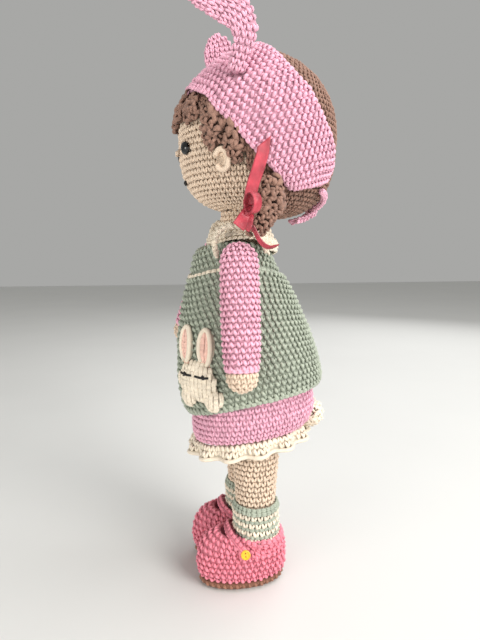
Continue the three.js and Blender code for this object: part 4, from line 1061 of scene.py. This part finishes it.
class DOLL_OT_ribbons(DollOperator, bpy.types.Operator):
    """Tie a satin ribbon round each pigtail"""

    bl_idname = "doll.ribbons"
    bl_label = "Ribbons"

    KNOT = (55.6, -12.4, 244)
    # The points of the loop and of the turn round the knot, out, back and up from the knot in millimetres.
    LOOP = tuple((3.8 - 2.8 * math.cos(angle), 1.0 - 2.2 * math.cos(angle), 5.0 + 5.2 * math.sin(angle))
                 for angle in np.linspace(0, 2 * math.pi, 15))
    TURN = tuple((0.4 + 2.6 * math.sin(angle), -0.6 + 0.6 * math.cos(angle), 0.2 + 2.6 * math.cos(angle))
                 for angle in np.linspace(0, 2 * math.pi, 11))
    # Each strip: its points from the knot, the way of its width, its share of the ribbon's width and the slant
    # of its cut end.
    STRIPS = (
        ("standing_tail", ((0.6, 0, 4), (0.9, 0.7, 10.8), (1.3, 2.4, 17.2), (1.7, 4.9, 24.8), (1.9, 6.8, 31.5),
                           (1.9, 7.5, 37.4)), (0.1, 1, 0.25), 0.95, 1.0),
        ("loop", LOOP, (-0.8, 1, 0.1), 0.95, 0.0),
        ("flap", ((1.2, -0.5, 0.2), (2.6, -2.2, -2), (2.9, -4.2, -4.6), (1.8, -6.5, -7.7)),
         (0.1, 0.78, -0.62), 1.05, 0.0),
        ("fold", ((1.6, 0, -0.4), (3.6, -0.3, -3.6), (3.9, -1, -7), (2.4, -2.2, -9.4)), (0.75, 1, 0), 0.55, 0.0),
        ("hanging_tail", ((-0.4, 1.5, -7.1), (-0.4, 3.5, -10.6), (0, 5.6, -14.6), (0.4, 8, -17.3), (0.8, 11, -18.7),
                          (1, 14.6, -18.3)), (1, 0.2, 0.5), 0.55, 0.9),
        ("knot", TURN, (0, 1, 0.2), 0.6, 0.0),
    )
    SHORT_ENDS = ("flap", "fold", "hanging_tail")

    def build(self, yarns, trim, stage):
        satin = satin_finish("coral_satin", trim.satin)
        x, y, z = self.KNOT
        for side_name, side in SIDES:
            # The right pigtail's ribbon lies further back, and its short ends keep closer to the knot.
            rear, reach = (0, 1) if side > 0 else (4, 0.4)
            for name, points, across, share, slant in self.STRIPS:
                near = reach if name in self.SHORT_ENDS else 1
                route = [mm(x + out, y + rear + back * near, z + up * near, side) for out, back, up in points]
                piece = strip(f"ribbon_{name}_{side_name}", route, (across[0] * side, *across[1:]),
                              trim.ribbon_width * share, trim.ribbon_thickness, satin,
                              f"pigtail_{side_name}_body", slant)
                if name == "standing_tail":
                    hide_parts(f"ribbon_bow_{side_name}")


class DOLL_OT_dress(DollOperator, bpy.types.Operator):
    """Crochet the collar, pinafore, skirt, ruffle and tail"""

    bl_idname = "doll.dress"
    bl_label = "Dress"

    # The rolled edge round each sleeve's top, in the side view, and how far out from the middle it lies.
    ARMHOLE = ((-26.7, 219.7), (-28.4, 224.5), (-28.4, 229.1), (-26.6, 233.8), (-23.0, 236.8),
               (-17.6, 238.0), (-10.3, 236.9), (-4.2, 233.4), (0.7, 228.1), (3.8, 222.7))
    ARMHOLE_OUT = 31.5

    def around_dress(self, low, high, front_way=1.0, depth=0.0):
        """Level rays round the doll between two rings of heights, each given at the front, side and back."""
        def ray(turn, share):
            level = around(turn, *low) + (around(turn, *high) - around(turn, *low)) * share
            x, y, _ = bearing(turn)
            return mm(0, -2 - depth * share, level), (x, y * front_way, 0)
        return ray

    def collar_ray(self, turn, share):
        """Rays that lean up and out of a ring, which is wider at the collar's hem than at its top."""
        x, y, _ = bearing(turn)
        deep = 28.5 - 8.0 * share if y < 0 else 15.0 - 5.5 * share
        level = around(turn, 230.2, 235.5, 226.6)
        level += (242 - level) * share
        way = Vector((x * 0.6, y * 0.6, 0.8))
        return mm(x * (30.5 - 15.5 * share) * 0.98, y * deep * 0.98, level) - way * 0.0045, way

    def pinafore(self, width, height):
        backing("pinafore", 0.0008, "sage", rests_on=["torso"])
        rays = self.around_dress((116.2, 131.2, 136.2), (224.6, 229.6, 221.4), 1.1, 11)
        skin = Skin("pinafore", rays, 90, 96)
        rows = clear_of(rows_of(skin, width, height, 0.008, 0.995), "collar", reach=0.02)
        low, behind = rows["level"] < 0.81, np.abs(rows["across"] - 0.5) <= 0.25
        ridge = (rows["level"] > 0.8) & (rows["level"] < 0.845)
        for part, keep in (("skirt_front", low & ~behind), ("skirt_back", low & behind), ("bodice", ~low & ~ridge)):
            crochet(f"pinafore_{part}", chosen(rows, keep), "sage", LEANING_STITCH, seed=82)
        crochet("pinafore_hem", ring_at(skin, 0.008), "sage", CHAIN_STITCH, sink=0.0004, seed=83)
        seam = ring_at(skin, 0.835, 0.004, wide=0.8)
        behind = np.abs(seam["across"] - 0.5) < 0.24
        for part, keep, yarn in (("front", ~behind, "cream"), ("back", behind, "sage")):
            crochet(f"pinafore_yoke_{part}", chosen(seam, keep), yarn, CHAIN_STITCH, "sage", sink=0.0010, seed=84)

    def ruffle(self, width, height):
        backing("skirt_ruffle", 0.0006, "cream", "ruffle_fabric", rests_on=["skirt"])
        skin = Skin("skirt_ruffle", self.around_dress((87.2, 94.2, 98.2), (96.1, 103.6, 105.6)), 16, 156, smooth=1)
        turns = np.arange(312) / 312
        reach = np.linalg.norm(skin.at(turns, 0.15)[:, :2], axis=1)
        even = sum(np.roll(reach, step) for step in range(-16, 17)) / 33
        wave = np.clip((reach - even) / np.percentile(np.abs(reach - even), 80), -1, 1)
        wave = sum(np.roll(wave, step) for step in range(-3, 4)) / 7

        def fluted(stitches):
            """Pushes the ruffle's free edge further out where it stands out, and up where it doesn't."""
            crest = np.interp(stitches["across"] % 1, turns, wave, period=1)[:, None]
            shift = stitches["out"] * crest * 0.0026 + np.array((0, 0, 0.0011)) * (1.4 - crest)
            stitches["place"] = stitches["place"] + (1 - stitches["level"])[:, None] * shift
            return stitches

        rows = fluted(rows_of(skin, width * 0.86, height * 1.1, 0.2, 1.0, stagger=0.0))
        crochet("ruffle_stitches", resized(rows, 1.3, 1.2), "cream", sink=0.0006, wobble=0.04, thick=0.85, seed=86)
        spots = fluted(ring_at(skin, 0.1, 0.0034))["place"] - np.array((0, 0, 0.0012))
        spots = (np.roll(spots, 1, 0) + spots * 2 + np.roll(spots, -1, 0)) / 4
        hem = np.concatenate([spots, spots[:2]])
        thread("ruffle_edge", hem, 0.0013, finish_of("cream", "cord"), "cream")

    def collar(self, width, height):
        backing("collar", 0.0006, "cream", rests_on=["torso", "pinafore"])
        skin = Skin("collar", self.collar_ray, 24, 96, smooth=1)
        rows = rows_of(skin, width * 0.95, height * 0.95)
        crochet("collar_stitches", rows, "cream", sink=0.0005, seed=88)
        edges = []
        for drop, inward in ((0.0004, 0.0), (0.0022, 0.0003), (0.0040, 0.0008)):
            edge = ring_at(skin, 0.03, wide=1.5)
            edge["place"] -= edge["out"] * inward + np.array((0, 0, drop))
            edges.append(edge)
        crochet("collar_edge", joined(*edges), "cream", CHAIN_STITCH, sink=0.0002, seed=188)
        for side_name, side in SIDES:
            # The right arm is sewn on higher than the left one, and its edge lies further back.
            rear, lift = (0.0, 0.0) if side > 0 else (5.0, 6.4)
            ends = (self.ARMHOLE[0], self.ARMHOLE[-1])
            arch = [mm(self.ARMHOLE_OUT - 3.5 * (spot in ends), spot[0] + rear, spot[1] + lift, side)
                    for spot in self.ARMHOLE]
            thread(f"armhole_cord_{side_name}", arch, 0.0013, finish_of("cream", "cord"), "cream")
            crochet(f"armhole_edge_{side_name}", chain_along(arch, 0.0034, 0.0008, 5, 0.8), "cream", CHAIN_STITCH,
                    sink=0.0, wobble=0.02, thick=0.9, seed=189)

    def pompom(self):
        fabric = backing("tail_pompom", 0.0008, "cream", "tail_fabric")
        centre, aside, share = mm(0, 43.6, 113.5), Vector((0.0085, -0.0045, -0.0005)), 0.86
        loops = rows_of(Skin("tail_pompom", globe(centre, -80, 80), 20, 30, smooth=1), 0.0040, 0.0032)
        for corner in fabric.data.vertices:
            corner.co = centre + (corner.co - centre) * share + aside
        loops["place"] = np.array(centre) + (loops["place"] - np.array(centre)) * share + np.array(aside)
        crochet("tail_loops", loops, "cream", CURL_STITCH, sink=0.0, wobble=0.8, thick=1.3, seed=89)

    def build(self, yarns, trim, stage):
        width, height = yarns.stitch_width, yarns.row_height
        backing("torso", 0.0009, "skin")
        neck = Skin("torso", lambda turn, share: (mm(0, -5.5, 236 + 13 * share), bearing(turn)), 12, 48)
        rows = clear_of(rows_of(neck, width * 0.9, height * 0.95), "head", reach=0.003, start=0.0005)
        crochet("neck_stitches", rows, "skin", seed=81)
        self.pinafore(width, height)
        backing("skirt", 0.0007, "rose", rests_on=["torso"])
        skin = Skin("skirt", self.around_dress((96.7, 104.2, 106.2), (150, 155, 160)), 60, 90)
        rows = rows_of(skin, width, height)
        low = chosen(rows, rows["level"] < 0.35)
        high = clear_of(chosen(rows, rows["level"] >= 0.35), "pinafore", reach=0.02)
        crochet("skirt_stitches", joined(low, high), "rose", seed=85)
        self.ruffle(width, height)
        self.collar(width, height)
        self.pompom()


class DOLL_OT_bunny(DollOperator, bpy.types.Operator):
    """Sew the little rabbit on the pinafore"""

    bl_idname = "doll.bunny"
    bl_label = "Rabbit Patch"

    # How far sideways and up each paw is moved on the cloth.
    SHIFTS = {"bunny_paw_left": (0.0010, 0.0022), "bunny_paw_right": (-0.0016, 0.0022)}
    # The stitches of a closed eye and its lashes, in shares of the face's half size.
    LASHES = (((-0.32, 0.0), (-0.1, -0.02), (0.1, -0.02), (0.32, 0.03)), ((0.02, 0.0), (0.1, 0.1)),
              ((0.1, 0.0), (0.12, -0.1)))

    def plane(self, node):
        """The middle of a patch piece, with its ways sideways, up and out, and its half sizes."""
        places = corners_of(node)
        middle = (places.min(0) + places.max(0)) / 2
        out = unit(np.array((middle[0], middle[1] - MIDDLE + 0.002, 0.004)))
        sideways = unit(np.cross((0, 0, 1.0), out))
        upward = np.cross(out, sideways)
        flat = places - middle
        return middle, sideways, upward, out, np.abs(flat @ sideways).max(), np.abs(flat @ upward).max()

    def landed(self, node, spot, out):
        """Where a spot before a patch piece falls on its face, or None."""
        return solid_tree(node).ray_cast(Vector(spot + out * 0.02), Vector(-out), 0.04)[0]

    def ear(self, node, rows, seed):
        """The blush inside of an ear and the cord round it."""
        middle, sideways, upward, out, _, _ = self.plane(node)
        flat = np.stack([(corners_of(node) - middle) @ way for way in (sideways, upward)], 1)
        lean = np.linalg.eigh(np.cov((flat - flat.mean(0)).T))[1][:, 1]
        lean = lean * np.sign(lean[1])
        length_way = sideways * lean[0] + upward * lean[1]
        width_way = sideways * lean[1] - upward * lean[0]
        centre = middle + sideways * flat[:, 0].mean() + upward * flat[:, 1].mean()
        wide, tall = (np.abs((corners_of(node) - centre) @ way).max() for way in (width_way, length_way))
        local = rows["place"] - centre
        inner = (np.abs(local @ width_way) < wide * 0.6) & (local @ length_way < tall * 0.7)
        crochet(f"{node}_inner", chosen(rows, inner), "blush", CHAIN_STITCH, sink=0.0003, thick=0.62, seed=seed)
        rim = []
        for angle in np.radians(np.linspace(-80, 260, 25)):
            spot = centre + width_way * math.cos(angle) * wide * 0.66 + length_way * math.sin(angle) * tall * 0.88
            hit = self.landed(node, spot, out)
            if hit is not None:
                rim.append(hit + Vector(out) * 0.0002)
        thread(f"{node}_edge", rim, 0.0016, finish_of("cream", "cord"), "cream")

    def build(self, yarns, trim, stage):
        nodes = ["bunny_head"] + [f"bunny_{part}_{side}" for part in ("ear", "paw") for side, _ in SIDES]
        for number, node in enumerate(nodes):
            middle, sideways, upward, out, wide, tall = self.plane(node)
            shift = self.SHIFTS.get(node, (0, 0))
            aside = sideways * shift[0] + upward * shift[1]
            backing(node, 0.0004, "cream").data.transform(Matrix.Translation(Vector(aside)))

            def ray(turn, share):
                start = middle + sideways * (2 * turn - 1) * wide * 1.02 + upward * (2 * share - 1) * tall * 1.02
                return start - out * 0.012, out

            skin = Skin(node, ray, 40, 41, closed=False, smooth=1)
            rows = rows_of(skin, yarns.stitch_width * 0.8, yarns.row_height * 0.9, stagger=0.0)
            rows["place"] = rows["place"] + aside
            rows = facing(resized(rows, 1.3, 1.7), middle - out * 0.05, 0.2)
            if "ear" in node:
                self.ear(node, rows, 90 + number)
            else:
                crochet(f"{node}_stitches", rows, "cream", CHAIN_STITCH, sink=0.0002, thick=0.75, wobble=0.12,
                        seed=95 + number)
        middle, sideways, upward, out, wide, tall = self.plane("bunny_head")
        lash = thread_finish("lash_thread", trim.thread)
        for side_name, side in SIDES:
            for line, route in enumerate(self.LASHES, 1):
                points = []
                for x, y in route:
                    spot = middle + sideways * (side * 0.42 + x * side) * wide + upward * (0.3 + y) * tall
                    points.append((self.landed("bunny_head", spot, out) or Vector(spot)) + Vector(out) * 0.0013)
                thread(f"bunny_lash_{side_name}_{line}", points, 0.0007, lash, "thread")


class DOLL_OT_arms(DollOperator, bpy.types.Operator):
    """Crochet the sleeves and hands"""

    bl_idname = "doll.arms"
    bl_label = "Arms"

    # Each shoulder's height, and how far forward its arm hangs, in degrees.
    HANGS = {"left": (217.69, 0), "right": (224.125, 22)}

    def build(self, yarns, trim, stage):
        for side_name, side in SIDES:
            body = f"arm_{side_name}_body"
            level, forward = self.HANGS[side_name]
            shoulder = mm(43, -16, level, side)
            down = Vector((side * math.sin(ARM_SPLAY), 0, -math.cos(ARM_SPLAY)))
            way = Matrix.Rotation(math.radians(-forward), 3, "X") @ down
            wrist, palm, knuckles = (shoulder + way * ARM_LENGTH * share for share in (0.828, 0.84, 0.9))
            backing(f"arm_{side_name}", 0.0012, "sleeve", f"sleeve_{side_name}", body=body)
            skin = Skin(f"arm_{side_name}", limb([shoulder, wrist], caps=(-84, 0)), 60, 48, most=0.0116)
            rows = rows_of(skin, yarns.stitch_width * 0.95, yarns.row_height * 0.92)
            crochet(f"sleeve_stitches_{side_name}", rows, "sleeve", LEANING_STITCH, body=body, thick=0.82, seed=101)
            cuff = ring_at(skin, 0.985)
            cuff["place"] += np.array(way) * 0.0012 - cuff["out"] * 0.0006
            crochet(f"sleeve_edge_{side_name}", cuff, "sleeve", CHAIN_STITCH, body=body, sink=0.0006, seed=103)
            backing(f"hand_{side_name}", 0.0011, "skin", f"hand_fabric_{side_name}", body=body)
            skin = Skin(f"hand_{side_name}", limb([palm, knuckles], caps=(0, 84)), 40, 40)
            rows = rows_of(skin, yarns.stitch_width * 0.93, yarns.row_height * 0.95)
            crochet(f"hand_stitches_{side_name}", rows, "skin", body=body, sink=0.0012, seed=102)
            # The shoulder yarn wears the cream ground, the yarn painted darker as shade.
            dressed(f"shoulder_yarn_{side_name}", finish_of("cream", "ground"))


class DOLL_OT_legs(DollOperator, bpy.types.Operator):
    """Crochet the legs, socks, shoes, soles and straps"""

    bl_idname = "doll.legs"
    bl_label = "Legs and Shoes"

    # The strap's way over the foot, from the inner side to the outer one, in shares of its reach and rise.
    STRAP = ((-1, 0), (-0.86, 0.48), (-0.42, 0.94), (0, 1), (0.42, 0.94), (0.86, 0.52), (1, 0.18))
    # The heights of the rows of stitches round the shoe's top, from its edge down.
    RIMS = (0.0330, 0.0298, 0.0266, 0.0236)

    def sock(self, side_name, side, width):
        shoe = f"shoe_{side_name}"
        backing(f"sock_{side_name}", 0.0006, "sage", f"sock_fabric_{side_name}", "cream")
        skin = Skin(f"sock_{side_name}", limb([mm(FOOT, 0, 26, side), mm(FOOT, 0, 54.3, side)]), 40, 48)
        top = 0.94
        rows = resized(rows_of(skin, width, 0.0056, 0.0, top), tall=0.76)
        count = int(rows["row"].max()) + 1
        rows = clear_of(chosen(rows, rows["place"][:, 2] >= 0.0312), shoe, reach=0.01, start=0.0)
        crochet(f"sock_stitches_{side_name}", rows, "cream", sink=0.0001, thick=1.15, seed=112)
        lines = joined(*[ring_at(skin, top * i / count, 0.0031, wide=1.3) for i in range(2, count)])
        lines = clear_of(lines, shoe, reach=0.01, start=0.0)
        rim = joined(*[ring_at(skin, level, 0.0034, wide=1.15) for level in (0.955, 0.99)])
        last = rim["level"] > 0.98
        rim["place"][last] += np.array((0, 0, 0.0014)) - rim["out"][last] * 0.0006
        crochet(f"sock_stripes_{side_name}", joined(lines, rim), "sage", CHAIN_STITCH, sink=0.0003, seed=113)

    def shoe_rims(self, side_name, side):
        """Rings of points just outside the sock, the first where the shoe's edge meets it."""
        shoe_tree, sock_tree = solid_tree(f"shoe_{side_name}"), solid_tree(f"sock_{side_name}")
        for level in self.RIMS:
            ring = []
            for step in range(48):
                way, middle = Vector(bearing(step / 48)), mm(FOOT, 0, level * 1000, side)
                middle.z = max(level, 0.027)
                hit = sock_tree.ray_cast(middle + way * 0.05, -way, 0.05)[0]
                spot = (hit or middle + way * 0.0135) + way * 0.0012
                above = shoe_tree.ray_cast(Vector((spot.x, spot.y, 0.06)), Vector((0, 0, -1)), 0.06)[0]
                top = above.z + 0.0006 if above is not None and level == self.RIMS[0] else 0.0
                ring.append(Vector((spot.x, spot.y, max(level, top))))
            yield ring + [ring[0]]

    def shoe(self, side_name, side, width, height):
        backing(f"shoe_{side_name}", 0.0008, "coral", f"shoe_fabric_{side_name}")

        def ray(turn, share):
            lift = math.radians(max(share - 0.5, 0) * 2 * 82)
            return mm(FOOT, SHOE_MIDDLE, 5.6 + 15.5 * min(share * 2, 1), side), bearing(turn, lift)

        rows = rows_of(Skin(f"shoe_{side_name}", ray, 60, 96), width, height)
        rows = clear_of(rows, f"sock_{side_name}", f"leg_{side_name}", reach=0.003, start=0.0)
        crochet(f"shoe_stitches_{side_name}", rows, "coral", LEANING_STITCH, seed=114)
        edge, *rims = self.shoe_rims(side_name, side)
        middle = mm(FOOT, 0, 0, side)
        upright = []
        for number, ring in enumerate(rims):
            inner = [spot + (Vector((*middle.xy, spot.z)) - spot).normalized() * 0.0012 for spot in ring]
            thread(f"shoe_lining_{number}_{side_name}", inner, 0.0015, finish_of("coral", "cord"), "coral")
            place = stations(ring, width, width / 4)[0]
            out = unit((place - np.array(middle)) * (1, 1, 0))
            upright.append(stitches_at(place, np.cross((0, 0, 1.0), out), (0, 0, 1), out, width, height))
        crochet(f"shoe_edge_{side_name}", chain_along(edge, CHAIN_PITCH, 0.0006, 3, 1.2), "coral", CHAIN_STITCH,
                sink=0.0, seed=117)
        crochet(f"shoe_rim_{side_name}", joined(*upright), "coral", LEANING_STITCH, sink=0.0004, seed=118)

    def strap(self, side_name, side):
        backing(f"shoe_strap_{side_name}", 0.0003, "coral", f"strap_fabric_{side_name}")
        route = []
        for across, up in self.STRAP:
            low, reach = (30.5, 14.2) if across < 0 else (27.5, 16.6)
            route.append(mm(FOOT + across * reach, -(8.5 + 10.5 * up), low + (37.4 - low) * up, side))
        place, tangent, _ = stations(route, 0.0034, 0.001)
        out = squared(place - np.array((side * FOOT / 1000, -0.006, 0.026)), tangent)
        aside = np.cross(tangent, out)
        lines = [stitches_at(place + out * 0.0009 + aside * shift, aside, tangent, out, 0.0033, 0.0034)
                 for shift in (-0.0013, 0.0013)]
        crochet(f"strap_stitches_{side_name}", joined(*lines), "coral", CHAIN_STITCH, sink=0.0003, seed=116)

    def build(self, yarns, trim, stage):
        width, height = yarns.stitch_width, yarns.row_height
        yellow = gloss_finish("button_yellow", trim.button, 0.3, (0.0001, 0.4))
        for side_name, side in SIDES:
            backing(f"leg_{side_name}", 0.0012, "skin", f"leg_fabric_{side_name}")
            skin = Skin(f"leg_{side_name}", limb([mm(FOOT, 0, 52, side), mm(15.9, 0, 91.5, side)]), 30, 48)
            crochet(f"leg_stitches_{side_name}", rows_of(skin, width, height), "skin", seed=111)
            self.sock(side_name, side, width)
            self.shoe(side_name, side, width, height)
            backing(f"sole_{side_name}", 0.0, "tan", f"sole_fabric_{side_name}")
            spine = limb([mm(FOOT, SHOE_MIDDLE, level, side) for level in (1.2, 4.9)])
            rows = rows_of(Skin(f"sole_{side_name}", spine, 8, 96, smooth=1), width, 0.0032)
            crochet(f"sole_stitches_{side_name}", rows, "tan", LEANING_STITCH, sink=0.0008, seed=115)
            self.strap(side_name, side)
            dressed(f"shoe_button_{side_name}", yellow)


PIECES = (DOLL_OT_stage, DOLL_OT_ties, DOLL_OT_head, DOLL_OT_hair, DOLL_OT_bonnet, DOLL_OT_ribbons, DOLL_OT_dress,
          DOLL_OT_bunny, DOLL_OT_arms, DOLL_OT_legs)


class DOLL_PT_panel(bpy.types.Panel):
    """The doll's pieces and settings"""

    bl_label = "Crocheted Doll"
    bl_idname = "DOLL_PT_panel"
    bl_space_type = "VIEW_3D"
    bl_region_type = "UI"
    bl_category = "Doll"

    def draw(self, context):
        scene = context.scene
        for piece in PIECES:
            self.layout.operator(piece.bl_idname)
        for settings in (scene.doll_yarn, scene.doll_trim, scene.doll_stage):
            box = self.layout.box()
            for key in settings.__annotations__:
                box.prop(settings, key)


CLASSES = (YarnSettings, TrimSettings, StageSettings) + PIECES + (DOLL_PT_panel,)


def register():
    for each in CLASSES:
        bpy.utils.register_class(each)
    bpy.types.Scene.doll_yarn = PointerProperty(type=YarnSettings)
    bpy.types.Scene.doll_trim = PointerProperty(type=TrimSettings)
    bpy.types.Scene.doll_stage = PointerProperty(type=StageSettings)


def unregister():
    del bpy.types.Scene.doll_stage
    del bpy.types.Scene.doll_trim
    del bpy.types.Scene.doll_yarn
    for each in reversed(CLASSES):
        bpy.utils.unregister_class(each)


def main():
    register()
    for piece in PIECES:
        group, name = piece.bl_idname.split(".")
        getattr(getattr(bpy.ops, group), name)()


if __name__ == "__main__":
    main()
